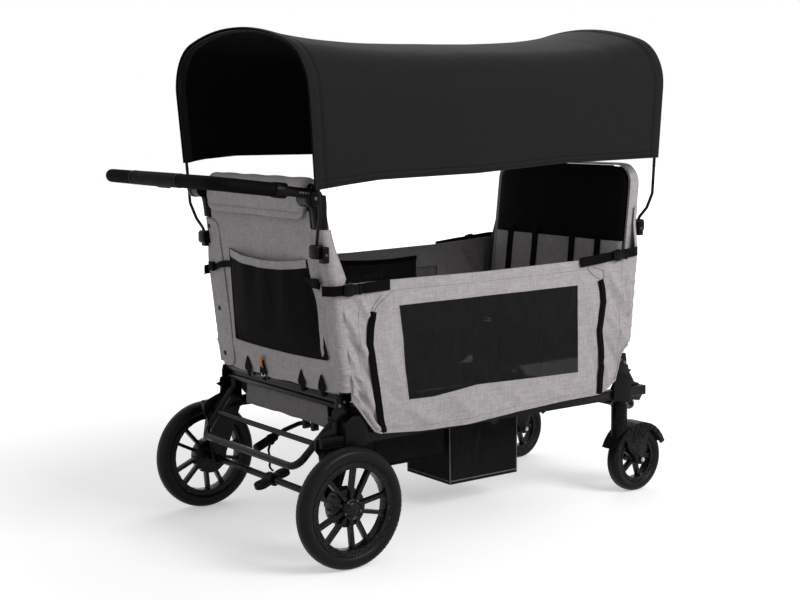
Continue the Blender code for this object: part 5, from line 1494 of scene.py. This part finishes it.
def makeBackrest(end, body):
    # quilted back cushion: black over the head, grey below on the front one
    b = backrest
    low, high = b["z"][end]
    clear = (wagon["postR"] + 0.0006) / cos(atan(wagon["postLean"]))
    columns, rows = 56, 40

    def spot(u, v, front):
        z = mix(low, high, v)
        past = max(0.0, (z - (high - b["corner"])) / b["corner"])
        half = b["half"] - b["corner"] * (1 - sqrt(max(0.0, 1 - past ** 2)))
        y = (half - 0.012 * max(0.0, (low + 0.02 - z) / 0.02) ** 2) * u
        edge = (1 - abs(u) ** 8) * (1 - abs(2 * v - 1) ** 10)
        puffed = b["thick"] * (0.3 + 0.7 * edge ** 0.5)
        groove = 0.003 * exp(-((z - b["split"]) / 0.004) ** 2)
        groove += 0.0026 * exp(-(u / 0.02) ** 2) * (z < b["split"])
        soft = 0.0022 * ripple(y * 10, z * 9, 3.0) + 0.003 * edge * sin(pi * v)
        depth = (puffed + (soft - groove) * edge) if front else b["thick"] * 0.12 * (1 - edge)
        return endPoint(end, postLine(z) + clear + depth, y, z)

    us = [sin(pi / 2 * (2 * j / columns - 1)) * 0.3 + (2 * j / columns - 1) * 0.7 for j in range(columns + 1)]
    frontRows = [[spot(u, i / rows, True) for u in us] for i in range(rows + 1)]
    backRows = [[spot(u, i / rows, False) for u in us] for i in range(rows + 1)]
    verts = [p for row in frontRows for p in row] + [p for row in backRows for p in row]
    pad = faceOut(meshObject(f"back_pad_{end}", verts, padFaces(rows, columns), [(p.y, p.z) for p in verts]))
    dress(pad, "blackCloth", body, [f"backrest_{end}"],
          angle=70)
    pad.data.materials.append(finish["greyCloth"])
    for face in pad.data.polygons:
        if face.center.z < b["split"] or end == "rear":
            face.material_index = 1
    back = endPoint(end, postLine(0.6) + clear, 0, 0.6)
    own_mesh(pad)
    straps = []
    for y in b["straps"]:
        side = 1 if y > 0.02 else -1
        at = y - 0.018
        spots = [spot(at / b["half"], v, True)
                 + Vector((-0.0016 if end == "front" else 0.0016, side * 0.01 * (0.5 - v), 0))
                 for v in b["strapRun"]]
        straps.append(sweep("harness", smoothRun(spots, 3), flat=(b["strapWide"], 0.0022),
                            up=(-1 if end == "front" else 1, 0, 0.1)))
        anchor, half = spots[-1], Vector((0.0025, b["strapWide"] * 0.62, 0.006))
        straps.append(block("anchor", anchor - half, anchor + half, 0.0012))
    harness = dress(joined(f"harness_back_{end}", straps), "webbing", body)
    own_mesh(harness)


def makeFrontCover():
    # grey cloth rim that folds over the front posts and corners, round the black pad
    b = backrest
    high = b["z"]["front"][1] + 0.004
    route = [(0.2745, z) for z in np.linspace(0.47, high - 0.055, 22)]
    for k in range(1, 9):
        angle = pi / 2 * k / 8
        route.append((0.2745 - 0.055 * (1 - cos(angle)), high - 0.055 + 0.055 * sin(angle)))
    rows = []
    for y, z in route + [(0.1, high), (0.0, high), (-0.1, high)] + [(-y, z) for y, z in route[::-1]]:
        outer = y + 0.003 * (1 if y > 0 else -1) * (abs(y) > 0.01)
        rows.append([endPoint("front", postLine(z) + past, wide, z + rise) for past, wide, rise in
                     ((0.015, y * 0.972, -0.003), (0.0165, y, 0), (0.004, outer, 0.002), (-0.01, y, 0),
                      (-0.0172, y * 0.985, -0.004))])
    cover = faceOut(gridSheet("front_cover_rim", rows))
    thicken(cover, 0.0016, 0.0)
    dress(cover, "greyCloth", "front_end", angle=60)


apronFacts = {"x": 0.04, "high": 0.3677, "low": 0.3075, "half": 0.19, "thick": 0.0022}


def makeApron():
    a, rows = apronFacts, []
    for i in range(13):
        v = i / 12
        row = []
        for j in range(41):
            u = 2 * j / 40 - 1
            half = a["half"] + 0.006 * (1 - v)
            z = mix(a["low"] - 0.002 * u * u * (1 - v) + 0.0008 * sin(u * 9) * (1 - v), a["high"], v)
            slack = 0.0022 * ripple(u * 4, v * 3, 6.0) + 0.0016 * sin(u * 16 + v * 3) * (1 - v)
            row.append(endPoint("rear", a["x"] + slack, half * u, z))
        rows.append(row)
    sheet = gridSheet("rear_apron", rows, flip=True)
    thicken(sheet, a["thick"], -1.0)
    dress(sheet, "greyShade", "rear_end", ["apron_rear"], angle=60)


for end, body in bothEnds:
    makeEndPanel(end, body)
    makeStrips(end, body)
    makeFootTabs(end, body)
    makeBackrest(end, body)
makePocket()
makeRoll()
makeFrontCover()
makeApron()
print("end cloth, pads and pocket: made")


# straps and buckles along the side's top edge
sideStraps = {
    "rear": {"route": ((-0.435, 0.659, 0.281), (-0.42, 0.659, 0.3035), (-0.395, 0.6595, 0.3085),
                       (-0.35, 0.6605, 0.3095), (-0.3, 0.662, 0.309), (-0.257, 0.663, 0.308)),
             "buckle": (-0.372, 0.6602), "body": "rear_end"},
    "front": {"route": ((0.367, 0.669, 0.308), (0.42, 0.673, 0.3085), (0.48, 0.678, 0.309),
                        (0.545, 0.683, 0.3085), (0.575, 0.685, 0.306), (0.598, 0.6855, 0.286)),
              "buckle": (0.505, 0.68), "body": "front_end"},
    "wide": 0.0245, "thick": 0.0022,
    # shell, tongue, two bars and two press tabs: x, x, z, z from the buckle's middle, inset, bevel
    "buckleParts": ((-0.017, 0.008, -0.014, 0.014, 0.0, 0.0022), (0.008, 0.022, -0.0115, 0.0115, 0.001, 0.0018),
                    (-0.0222, -0.0178, -0.0135, 0.0135, 0.0, 0.001), (0.0228, 0.0272, -0.0135, 0.0135, 0.0, 0.001),
                    (-0.012, 0.002, -0.0159, -0.0135, 0.0015, 0.0008),
                    (-0.012, 0.002, 0.0135, 0.0159, 0.0015, 0.0008)),
}


def makeSideStrap(side, end):
    s = sideStraps
    facts = s[end]
    spots = [Vector((x, side * (y + 0.0012), z)) for x, z, y in facts["route"]]
    strap = sweep("strap", smoothRun(spots, 5), flat=(s["wide"], s["thick"]), up=(0, side, 0))
    hem = sweep("fold", smoothRun(spots, 5)[-9 if end == "rear" else 0:None if end == "rear" else 9],
                flat=(s["wide"] + 0.0012, s["thick"] + 0.0022), up=(0, side, 0))
    webbing = dress(joined(f"side_strap_{end}_{sideWord[side]}", [strap, hem]), "webbing", facts["body"])
    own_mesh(webbing)
    bx, bz = facts["buckle"]
    y0, y1 = sorted((side * 0.3085, side * 0.3165))
    parts = [block("part", (bx + x0, y0 + inset, bz + z0), (bx + x1, y1 - inset, bz + z1), bevel)
             for x0, x1, z0, z1, inset, bevel in s["buckleParts"]]
    buckle = dress(joined(f"side_buckle_{end}_{sideWord[side]}", parts), "softPlastic", facts["body"])
    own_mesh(buckle)


for side in allSides:
    for end in ("rear", "front"):
        makeSideStrap(side, end)


# seats and foot wells
seat = {"start": 0.069, "end": 0.369, "half": 0.241, "low": 0.4142, "thick": 0.028, "voxel": 0.006,
        "pressure": 4.0, "frames": 20, "cap": 0.007,
        "mass": 0.3, "stiff": 30, "acrossSeams": (-0.045, 0.05), "alongSeams": (-0.125, 0.125),
        "places": (-0.121, 0.121), "shoulders": (-0.075, 0.075)}


def padStart(halfX, halfY, thick):
    # the pad before it is blown up: a little small, with its sides drawn in
    verts, rows, columns = [], 10, 16
    for level in (0, 1):
        for i in range(rows + 1):
            v = 2 * i / rows - 1
            for j in range(columns + 1):
                u = 2 * j / columns - 1
                x = halfX * v - 0.006 * v * abs(v) ** 2 * (1 - u * u)
                y = halfY * u - 0.006 * u * abs(u) ** 2 * (1 - v * v)
                edge = (1 - abs(u) ** 6) * (1 - abs(v) ** 6)
                verts.append(Vector((x, y, thick * (0.5 + 0.5 * edge ** 0.5) if level else 0.0)))
    return faceOut(meshObject("pad", verts, [face[:1] + face[:0:-1] for face in padFaces(rows, columns)]))


def blownUp(pad):
    # remesh, blow up with cloth pressure, cap the swell, then smooth once
    s = seat
    remesh = pad.modifiers.new("remesh", "REMESH")
    remesh.mode, remesh.voxel_size = "VOXEL", s["voxel"]
    settled(pad)
    start = np.array([v.co[:] for v in pad.data.vertices])
    soft = pad.modifiers.new("cloth", "CLOTH")
    soft.settings.quality = 4
    soft.settings.mass = s["mass"]
    soft.settings.use_pressure = True
    soft.settings.uniform_pressure_force = s["pressure"]
    soft.settings.tension_stiffness = soft.settings.compression_stiffness = s["stiff"]
    soft.settings.effector_weights.gravity = 0.0
    soft.point_cache.frame_start, soft.point_cache.frame_end = 1, s["frames"]
    for step in range(1, s["frames"] + 1):
        bpy.context.scene.frame_set(step)
    settled(pad)
    bpy.context.scene.frame_set(1)
    for vert, was in zip(pad.data.vertices, start):
        move = Vector(vert.co) - Vector(was)
        if move.length > s["cap"]:
            move *= s["cap"] / move.length
        vert.co = Vector(was) + move
        vert.co.z = max(vert.co.z, 0.0)
    return rounder(pad)


def makeSeat(end, pad):
    # one bench's cushion with its belts and clips
    s = seat
    copy = added(f"seat_pad_{end}", pad.data.copy())
    middle = endX(end, (s["start"] + s["end"]) / 2)
    if end == "front":
        copy.data.transform(Matrix.Scale(-1, 4, (1, 0, 0)))
    copy.data.transform(Matrix.Translation((middle, 0, s["low"])))
    faceOut(copy)
    dress(copy, "seatCloth", f"{end}_bench", [f"seat_cushion_{end}"], angle=80)
    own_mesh(copy)
    belts, clips = [], []
    way = 1 if end == "rear" else -1
    for place in s["places"]:
        top = s["low"] + s["thick"] + 0.012
        for sideY in s["shoulders"]:
            spots = [(middle + way * ahead, place + sideY * share, top + rise) for ahead, share, rise in
                     ((-0.135, 1, -0.01), (-0.1, 1, -0.002), (-0.03, 0.45, 0.002), (0.005, 0.12, 0.002))]
            belts.append(sweep("belt", smoothRun(spots, 5), flat=(0.022, 0.0022), up=(0, 0, 1)))
        spots = [(middle + way * ahead, place, top + rise) for ahead, rise in
                 ((0.075, -0.009), (0.05, 0), (0.01, 0.003))]
        belts.append(sweep("crotch", smoothRun(spots, 5), flat=(0.022, 0.0022), up=(0, 0, 1)))
        clips.append(block("clip", (middle - 0.019, place - 0.017, top),
                           (middle + 0.019, place + 0.017, top + 0.011), 0.004, 3))
        clips.append(block("button", (middle - 0.007, place - 0.007, top + 0.01),
                           (middle + 0.007, place + 0.007, top + 0.0125), 0.001))
    belts = dress(joined(f"seat_belts_{end}", belts), "webbing", f"{end}_bench")
    clips = dress(joined(f"seat_clips_{end}", clips), "softPlastic", f"{end}_bench")
    for piece in (belts, clips):
        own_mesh(piece)


def makeSeats():
    s = seat
    halfX, halfY = (s["end"] - s["start"]) / 2, s["half"]
    pad = padStart(halfX - 0.006, halfY - 0.006, s["thick"])
    pad = blownUp(pad)
    for vert in pad.data.vertices:
        # sewn channels after the simulation: one between the two places, two across each
        x, y, z = vert.co
        if z > 0.008:
            groove = 0.007 * exp(-(y / 0.008) ** 2)
            for channel in s["acrossSeams"]:
                groove += 0.0035 * exp(-((x - channel) / 0.005) ** 2)
            for channel in s["alongSeams"]:
                groove += 0.0025 * exp(-((y - channel) / 0.006) ** 2)
            vert.co.z -= groove * ease((z - 0.008) / 0.014)
    for end in ("rear", "front"):
        makeSeat(end, pad)
    bpy.data.objects.remove(pad, do_unlink=True)


well = {"half": 0.0955, "x": {"rear": (0.251, 0.4815), "front": (0.254, 0.4905)},
        "low": {"rear": 0.152, "front": 0.0684},
        "top": 0.2895, "thick": 0.0016, "node": {"rear": "storage_well_rear", "front": "foot_well_front"}}


def makeWell(end):
    w = well
    low, across, levels = w["low"][end], 24, 24
    xs = sorted(endX(end, d) for d in w["x"][end])
    lx, ly, midX = xs[1] - xs[0], 2 * w["half"], (xs[0] + xs[1]) / 2
    corners = [(xs[0], -w["half"]), (xs[1], -w["half"]), (xs[1], w["half"]), (xs[0], w["half"])]
    ring = [(mix(ax, bx, k / across), mix(ay, by, k / across))
            for (ax, ay), (bx, by) in zip(corners, corners[1:] + corners[:1]) for k in range(across)]
    ring.append(ring[0])
    rows = []
    for i in range(levels + 1):
        v = i / levels
        z = mix(w["top"], low, v)
        row = []
        for x, y in ring:
            onSide = abs(abs(y) - w["half"]) < 1e-6
            near = (min(abs(x - xs[0]), abs(x - xs[1])) / lx if onSide else
                    min(abs(y - w["half"]), abs(y + w["half"])) / ly) * 2
            belly = near * sin(pi * v)
            fold = 0.005 * sin(near * 9 + v * 5 + x * 30) * belly + 0.004 * belly * ripple(x * 22, y * 22,
                                                                                           z * 16)
            push = (0, copysign(fold, -y), 0) if onSide else (copysign(fold, midX - x), 0, 0)
            scale = 1 - 0.012 * v - belly * 0.02
            row.append(Vector((midX + (x - midX) * scale, y * scale, z)) + Vector(push))
        rows.append(row)
    floorRows = [[Vector((midX + (mix(*xs, i / across) - midX) * 0.988,
                          w["half"] * 0.988 * (2 * j / across - 1), low)) for j in range(across + 1)]
                 for i in range(across + 1)]
    box = faceOut(joined(f"well_mesh_{end}", [gridSheet("wall", rows), gridSheet("base", floorRows)]), 0.0003)
    thicken(box, w["thick"], -1.0)
    dress(box, "wellMesh", f"{end}_floor", [w["node"][end]], angle=50)

    def outside(p, away):
        return p + Vector((p.x - midX, p.y, 0)).normalized() * away

    tapes = [sweep("tape", [outside(p, 0.0012) for p in rows[level][:-1]], 0.0014, sides=6, closed=True)
             for level in (1, levels - 1)]
    tapes += [sweep("edge", [outside(row[k], 0.0008) for row in rows], 0.0014, sides=8)
              for k in range(0, 4 * across, across)]
    edges = dress(joined(f"well_edges_{end}", tapes), "greyTape" if end == "front" else "blackTape",
                  f"{end}_floor")
    for piece in (box, edges):
        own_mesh(piece)


makeSeats()
for end in ("rear", "front"):
    makeWell(end)
print("seats and wells: made")


# frame parts: the CAD shapes with softened edges
bodyOf = {node: body for body, nodes in frame["record"]["behaviour"]["bodies"].items() for node in nodes}
softened = {
    # node name starts with: (finish, bevel width, segments)
    "rear_axle": ("satinBlack", 0.0006, 2), "side_plate": ("satinBlack", 0.0008, 2),
    "cross_channel": ("satinBlack", 0.001, 2),
    "bumper": ("satinBlack", 0.0, 0), "corner_bracket": ("plastic", 0.0014, 2), "post_frame": ("satinBlack", 0.0, 0),
    "canopy_clip": ("softPlastic", 0.0016, 2), "handle_tube": ("softPlastic", 0.0006, 2),
    "handle_bar": ("softPlastic", 0.001, 2),
    "brake_pedal": ("plastic", 0.0014, 2), "rim_rear": ("rim", 0.001, 2), "rail": ("satinBlack", 0.0012, 2),
    "floor_board": ("board", 0.0008, 2), "fold_lever": ("plastic", 0.0006, 2), "bench_board": ("board", 0.001, 2),
    "caster_housing": ("softPlastic", 0.0012, 2), "caster_fork": ("plastic", 0.0012, 2),
    "caster_rim": ("rim", 0.0008, 2),
}


def makeSoftened():
    for node in frame["nodes"]:
        for start, (skin, width, segments) in softened.items():
            if node.startswith(start):
                copy = refined(node, width, segments)
                dress(copy, skin, bodyOf[node], [node], angle=34)
                break


makeSoftened()
print("frame parts: softened")


# rear wheels
rearWheel = {
    "track": 0.697, "flank": ((0.1142, 0.0152), (0.1165, 0.0176), (0.121, 0.0194), (0.127, 0.0204), (0.133, 0.0202),
                              (0.138, 0.0186), (0.1404, 0.0164), (0.1412, 0.015), (0.1424, 0.0146), (0.1436, 0.0124),
                              (0.1448, 0.01), (0.1436, 0.0092), (0.145, 0.0084), (0.1457, 0.005), (0.1446, 0.0042),
                              (0.1459, 0.0034), (0.146, 0.0)),
    "steps": 96, "capR": 0.019, "bolts": 5, "boltR": 0.0034, "boltRing": 0.0152, "lip": (0.1128, 0.0158),
    "pips": 72,
}
casterWheel = {
    "flank": ((0.0664, 0.013), (0.069, 0.016), (0.0735, 0.0184), (0.0785, 0.0196), (0.0835, 0.019), (0.0872, 0.0166),
              (0.0884, 0.015), (0.0896, 0.0144), (0.091, 0.0116), (0.0919, 0.0084), (0.091, 0.0076), (0.0922, 0.0068),
              (0.0928, 0.0)),
    "steps": 72, "stem": (0.5766, 0.243), "nutR": 0.007, "lip": (0.0652, 0.0134),
}


def fullProfile(flank):
    return list(flank) + [(r, -h) for r, h in flank[-2::-1]]


def makeRearWheel(side):
    w = rearWheel
    word = sideWord[side]
    centre = (wagon["axleX"], side * w["track"] / 2, wagon["axleZ"])
    body = f"rear_wheel_{word}"
    tyre = spun(f"rear_tyre_{word}", fullProfile(w["flank"]), w["steps"], centre)
    dress(tyre, "tyre", body, [f"tyre_rear_{word}"], angle=28)
    facing = outwards[side]
    lipR, lipY = w["lip"]
    ring = spun("lip", [(lipR - 0.0035, lipY - 0.002), (lipR - 0.003, lipY + 0.0003),
                        (lipR - 0.0012, lipY + 0.0012), (lipR + 0.0008, lipY + 0.0008),
                        (lipR + 0.0012, lipY - 0.002)], w["steps"], centre, facing)
    cap = spun("cap", [(0.0, 0.0186), (0.007, 0.0184), (0.013, 0.0174), (0.017, 0.0158), (w["capR"], 0.0132)],
               40, centre, facing, closed=False)
    collar = spun("collar", [(0.0195, 0.0134), (0.0225, 0.015), (0.025, 0.014), (0.0262, 0.012)], 40, centre,
                  facing, closed=False)
    dress(joined(f"rear_hub_{word}", [ring, cap, collar]), "rim", body, angle=40)
    bolt = domed("bolt", w["boltR"], 0.0022, 10, (w["boltRing"] + 0.0073, side * 0.0142, 0), side)
    dress(ringOf(bolt, w["bolts"], radians(16), centre, "gunmetal"), "gunmetal", body,
          name=f"rear_hub_bolts_{word}")
    # moulding pips round both shoulders
    pip = block("pip", (0.1392, 0.0168, -0.0016), (0.1408, 0.0176, 0.0016), 0.0)
    other = block("pip", (0.1392, -0.0176, -0.0016), (0.1408, -0.0168, 0.0016), 0.0)
    dress(ringOf(joined("pips", [pip, other]), w["pips"], 0.0, centre, "tyre"), "tyre", body,
          name=f"rear_tyre_pips_{word}")
    # ribs round the brake drum on the inner side
    rib = block("rib", (0.0468, -side * 0.02 - 0.008, -0.0016), (0.0492, -side * 0.02 + 0.008, 0.0016), 0.0006,
                1)
    dress(ringOf(rib, 18, 0.0, centre, "plastic"), "plastic", body,
          name=f"brake_drum_ribs_{word}")


def makeCaster(side):
    w = casterWheel
    word = sideWord[side]
    low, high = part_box(f"caster_tyre_{word}")
    centre = (Vector(low) + Vector(high)) / 2
    stem = Vector((w["stem"][0], side * w["stem"][1], 0))
    trail = centre - stem
    yaw = atan2(trail.y, trail.x) - pi
    turn = Matrix.Rotation(yaw, 4, "Z")
    axis = turn @ Vector((0, 1, 0))
    tyre = spun(f"caster_tyre_round_{word}", fullProfile(w["flank"]), w["steps"], centre, turn)
    dress(tyre, "tyre", f"caster_wheel_{word}", [f"caster_tyre_{word}"], angle=28)
    parts, nuts = [], []
    lipR, lipY = w["lip"]
    for facing in allSides:
        flip = turn @ outwards[facing]
        parts.append(spun("lip", [(lipR - 0.003, lipY - 0.002), (lipR - 0.0022, lipY + 0.0004),
                                  (lipR, lipY + 0.001), (lipR + 0.0012, lipY - 0.001)], w["steps"], centre,
                          flip))
        nuts.append(spun("nut", [(0.0, 0.0385), (0.0044, 0.0385), (0.005, 0.0378), (0.0052, 0.0352)], 20,
                         centre, flip, closed=False))
        nuts.append(spun("hex", [(0.0, 0.0368), (w["nutR"] * 0.86, 0.0368), (w["nutR"], 0.036),
                                 (w["nutR"], 0.0346)], 6, centre, flip, closed=False))
    dress(joined(f"caster_lips_{word}", parts), "rim", f"caster_wheel_{word}")
    dress(joined(f"caster_nuts_{word}", nuts), "steel", f"fork_{word}")
    # raised ribs on both sides of the fork's guard
    ribs = []
    for k in range(9):
        angle = radians(44 + 11.5 * k)
        radial = Vector((cos(angle) * cos(yaw), cos(angle) * sin(yaw), sin(angle)))
        for facing in allSides:
            out = axis * (0.029 * facing)
            a, b = centre + radial * 0.0905 + out, centre + radial * 0.1015 + out
            ribs.append(sweep("rib", [a, b], flat=(0.0028, 0.002), up=axis))
    for k in range(4):
        for facing in allSides:
            run = []
            for share in (0, 0.35, 0.7, 1):
                angle = radians(mix(122, 96, share) - 12.5 * k)
                radial = Vector((cos(angle) * cos(yaw), cos(angle) * sin(yaw), sin(angle)))
                run.append(centre + radial * mix(0.092, 0.06, share ** 1.4) + axis * (0.0288 * facing))
            ribs.append(sweep("rib", smoothRun(run, 4), flat=(0.003, 0.0026), up=axis))
    dress(joined(f"fork_vents_{word}", ribs), "softPlastic", f"fork_{word}")
    # a round dust cap over the stem
    spot = Vector((stem.x, stem.y, 0.25))
    ringTurn = Matrix.Rotation(pi / 2, 4, "X")
    collar = spun("ring", [(0.0222, -0.0035), (0.024, -0.0025), (0.024, 0.0025), (0.0222, 0.0035)], 40, spot,
                  ringTurn)
    dress(collar, "softPlastic", bodyOf[f"caster_housing_{word}"],
          name=f"caster_collar_{word}")


for side in allSides:
    makeRearWheel(side)
for side in allSides:
    makeCaster(side)
print("wheels: made")


# handle
handle = {"y": 0.281, "pivotX": -0.4549, "pivotZ": 0.8795, "rise": 0.137, "lift": 0.0108, "innerR": 0.012,
          "gripR": 0.0172, "gripHalf": 0.112, "holes": (0.0215, 0.029, 0.0365, 0.044), "sleeveZ": (0.806, 0.884)}


def handleSpot(d, y, lift=None):
    h = handle
    lift = h["lift"] if lift is None else lift
    angle = atan(h["rise"])
    return Vector((h["pivotX"] - d * cos(angle) + lift * sin(angle), y,
                   h["pivotZ"] + d * sin(angle) + lift * cos(angle)))


def makeHandle():
    h = handle
    low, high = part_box("handle_grip")
    mid = (Vector(low) + Vector(high)) / 2
    count, profile = 150, []
    for i in range(count + 1):
        y = mix(-h["gripHalf"], h["gripHalf"], i / count)
        away = h["gripHalf"] - abs(y)
        radius = h["gripR"] * (0.86 + 0.14 * sqrt(min(1, away / 0.006)))
        radius += 0.00025 * sin(y * 2100) - 0.0006 * exp(-((away - 0.01) / 0.0012) ** 2)
        profile.append((min(radius, h["gripR"]), y))
    profile = [(0.0125, -h["gripHalf"])] + profile + [(0.0125, h["gripHalf"])]
    grip = spun("handle_foam", profile, 36, mid, closed=True)
    dress(grip, "foam", bodyOf["handle_grip"], ["handle_grip"], angle=50)
    holes, rings, hubs, sleeves = [], [], [], []
    for side in allSides:
        facing = outwards[side]
        for d in h["holes"]:
            spot = handleSpot(d, side * (h["y"] + h["innerR"]))
            holes.append(spun("hole", [(0.0, 0.0001), (0.0026, 0.0001), (0.0029, -0.0003)], 16, spot,
                              facing, closed=False))
        pivot = Vector((h["pivotX"], side * (h["y"] + 0.0088), h["pivotZ"]))
        hubs.append(spun("cap", [(0.0, 0.0026), (0.0075, 0.0026), (0.0085, 0.0016), (0.012, 0.0014),
                                 (0.0132, 0.003), (0.0185, 0.003), (0.0208, 0.0018), (0.0222, -0.001)], 44,
                         pivot, facing, closed=False))
        rings.append(domed("screw", 0.0052, 0.003, 20, pivot + Vector((0, side * 0.0016, 0)), side))
        z0, z1 = h["sleeveZ"]
        loops = []
        for k in range(9):
            z = mix(z0, z1, k / 8)
            half = 0.018 + 0.0035 * ease((z - z0 - 0.03) / 0.03)
            x, y = endX("rear", postLine(z)) - 0.0055, side * 0.2605
            loops.append([Vector((x + half * copysign(abs(cos(a)) ** 0.6, cos(a)),
                                  y + 0.0142 * copysign(abs(sin(a)) ** 0.6, sin(a)), z))
                          for a in np.linspace(0, tau, 24, endpoint=False)])
        verts = [p for loop in loops for p in loop]
        faces = loopFaces([(k, k + 1) for k in range(8)], 24) + [tuple(range(24)), tuple(range(8 * 24, 9 * 24))]
        sleeves.append(faceOut(meshObject("sleeve", verts, faces)))
    dress(joined("handle_holes", holes), "gunmetal", "handle_arms")
    dress(joined("handle_hub_caps", hubs), "softPlastic", "handle_arms")
    dress(joined("handle_hub_screws", rings), "gunmetal", "handle_arms")
    dress(joined("post_sleeves", sleeves), "softPlastic", "rear_end", angle=50)


def ribbed(name, route, radius, rise, pitch):
    # a rubber sleeve along a route, with a rib at each step of the pitch
    spots, radii, gone = [Vector(route[0])], [radius], 0.0
    for a, b in zip(route, route[1:]):
        a, b = Vector(a), Vector(b)
        run = (b - a).length
        while gone + pitch / 4 <= run:
            gone += pitch / 4
            spots.append(a.lerp(b, gone / run))
            radii.append(radius + rise * (len(spots) % 4 in (1, 2)))
        gone -= run
    return sweep(name, spots, radii, sides=20)


def makeHandleSleeves():
    h = handle
    for side in allSides:
        bend = bentRun([handleSpot(0.113, side * h["y"]), handleSpot(0.265, side * h["y"]),
                        handleSpot(0.265, side * 0.1135)], 0.05, 14)
        sleeve = ribbed("sleeve", bend, 0.0159, 0.0007, 0.0046)
        dress(sleeve, "foam", bodyOf["handle_bar"], angle=50, name=f"handle_ribs_{sideWord[side]}")
        end = spun("ring", [(0.015, -0.0022), (0.0176, -0.0016), (0.0176, 0.0016), (0.015, 0.0022)], 32,
                   handleSpot(0.265, side * 0.1148))
        dress(end, "softPlastic", bodyOf["handle_bar"], name=f"handle_ring_{sideWord[side]}")


makeHandle()
makeHandleSleeves()


# small hardware
hardware = {"boltR": 0.0052, "boltH": 0.0028, "plateY": 0.2747,
            "pedal": ((0.0245, 0.015), (0.031, 0.0165), (0.0375, 0.016), (0.044, 0.012))}


def makeHardware():
    for end, body in bothEnds:
        heads = []
        for side in allSides:
            for d, z in ((0.035, 0.385), (0.02, 0.376)):
                spot = endPoint(end, d, side * hardware["plateY"], z)
                heads.append(domed("bolt", hardware["boltR"], hardware["boltH"], 18, spot, side))
            # the pins at the rails' ends
            heads.append(domed("pin", 0.0062, 0.0024, 20, endPoint(end, 0.06, side * 0.2952, 0.295), side))
        dress(joined(f"frame_bolts_{end}", heads), "gunmetal", body)
    # grips on the pedal's tread
    slots = []
    for way in (-1, 1):
        for away, half in hardware["pedal"]:
            slots.append(block("rib", (way * away - 0.0013, -half, 0.005), (way * away + 0.0013, half, 0.0072),
                               0.0005, 1))
    pedal = joined("pedal_ribs", slots)
    pedal.data.transform(Matrix.Translation((wagon["axleX"], 0, wagon["axleZ"])) @ Matrix.Rotation(radians(-18),
                                                                                                   4, "Y"))
    dress(pedal, "softPlastic", bodyOf["brake_pedal"])


leverGrip = {"start": (-0.075, 0.044, 0.242), "run": (-0.062, -0.01, -0.02), "r": 0.0108, "rise": 0.001,
             "pitch": 0.0058}


def makeLeverGrip():
    # ribbed sleeve on the fold lever, with a webbing tail that hangs from it
    g = leverGrip
    start = Vector((endX("rear", 0.105), 0, 0)) + Vector(g["start"])
    run = Vector(g["run"])
    grip = ribbed("grip", [start - run * 0.05, start + run * 0.985], g["r"], g["rise"], g["pitch"])
    dress(grip, "foam", bodyOf["fold_lever"], angle=50, name="lever_grip_ribs")
    hold = start + run * 0.22
    across = Vector((0, 0, 1)).cross(run).normalized()
    loop = [hold + across * 0.013 * cos(a) + Vector((0, 0, 0.013)) * sin(a)
            for a in np.linspace(0, tau, 18, False)]
    tail = smoothRun([hold + Vector((0, 0, -0.0125)), hold + Vector((-0.004, 0.002, -0.03)),
                      hold + Vector((0.001, 0, -0.052)), hold + Vector((-0.003, 0, -0.07)),
                      hold + Vector((0.006, -0.002, -0.084))], 5)
    tail = sweep("tail", tail, flat=(0.0085, 0.0016), up=(1, 0.2, 0))
    band = sweep("band", loop, closed=True, flat=(0.009, 0.0016))
    dress(joined("lever_strap", [tail, band]), "webbing", bodyOf["fold_lever"])


def makeFrontGussets():
    # three-cornered braces from the front posts down to the bumper's stubs
    braces = []
    for side in allSides:
        y = side * 0.269
        corners = [(0.56, 0.378), (0.606, 0.309), (0.552, 0.309)]
        route = bentRun([Vector((0.5575, y, 0.345))] + [Vector((x, y, z)) for x, z in corners]
                        + [Vector((0.5575, y, 0.346))], 0.006, 3)
        braces.append(sweep("brace", route, flat=(0.0125, 0.003), up=(0, side, 0)))
    dress(joined("front_gussets", braces), "satinBlack", "front_end", angle=40)


makeHardware()
makeLeverGrip()
makeFrontGussets()
clipShell = {"ahead": -0.0235, "half": 0.0085, "z": (0.725, 0.764), "y": (0.2725, 0.294), "bevel": 0.0028}


def makeClipShells():
    # the second half of each two-part clip, with the screw that draws the halves together
    k = clipShell
    for end, body in bothEnds:
        shells, screws = [], []
        for side in allSides:
            x = endX(end, k["ahead"])
            y0, y1 = sorted((side * k["y"][0], side * k["y"][1]))
            shells.append(block("shell", (x - k["half"], y0, k["z"][0]), (x + k["half"], y1, k["z"][1]),
                                k["bevel"], 3))
            screws.append(domed("screw", 0.0036, 0.0016, 16, (x, side * k["y"][1], sum(k["z"]) / 2), side))
        dress(joined(f"clip_shells_{end}", shells), "softPlastic", body)
        dress(joined(f"clip_screws_{end}", screws), "gunmetal", body)


makeClipShells()
print("handle and hardware: made")
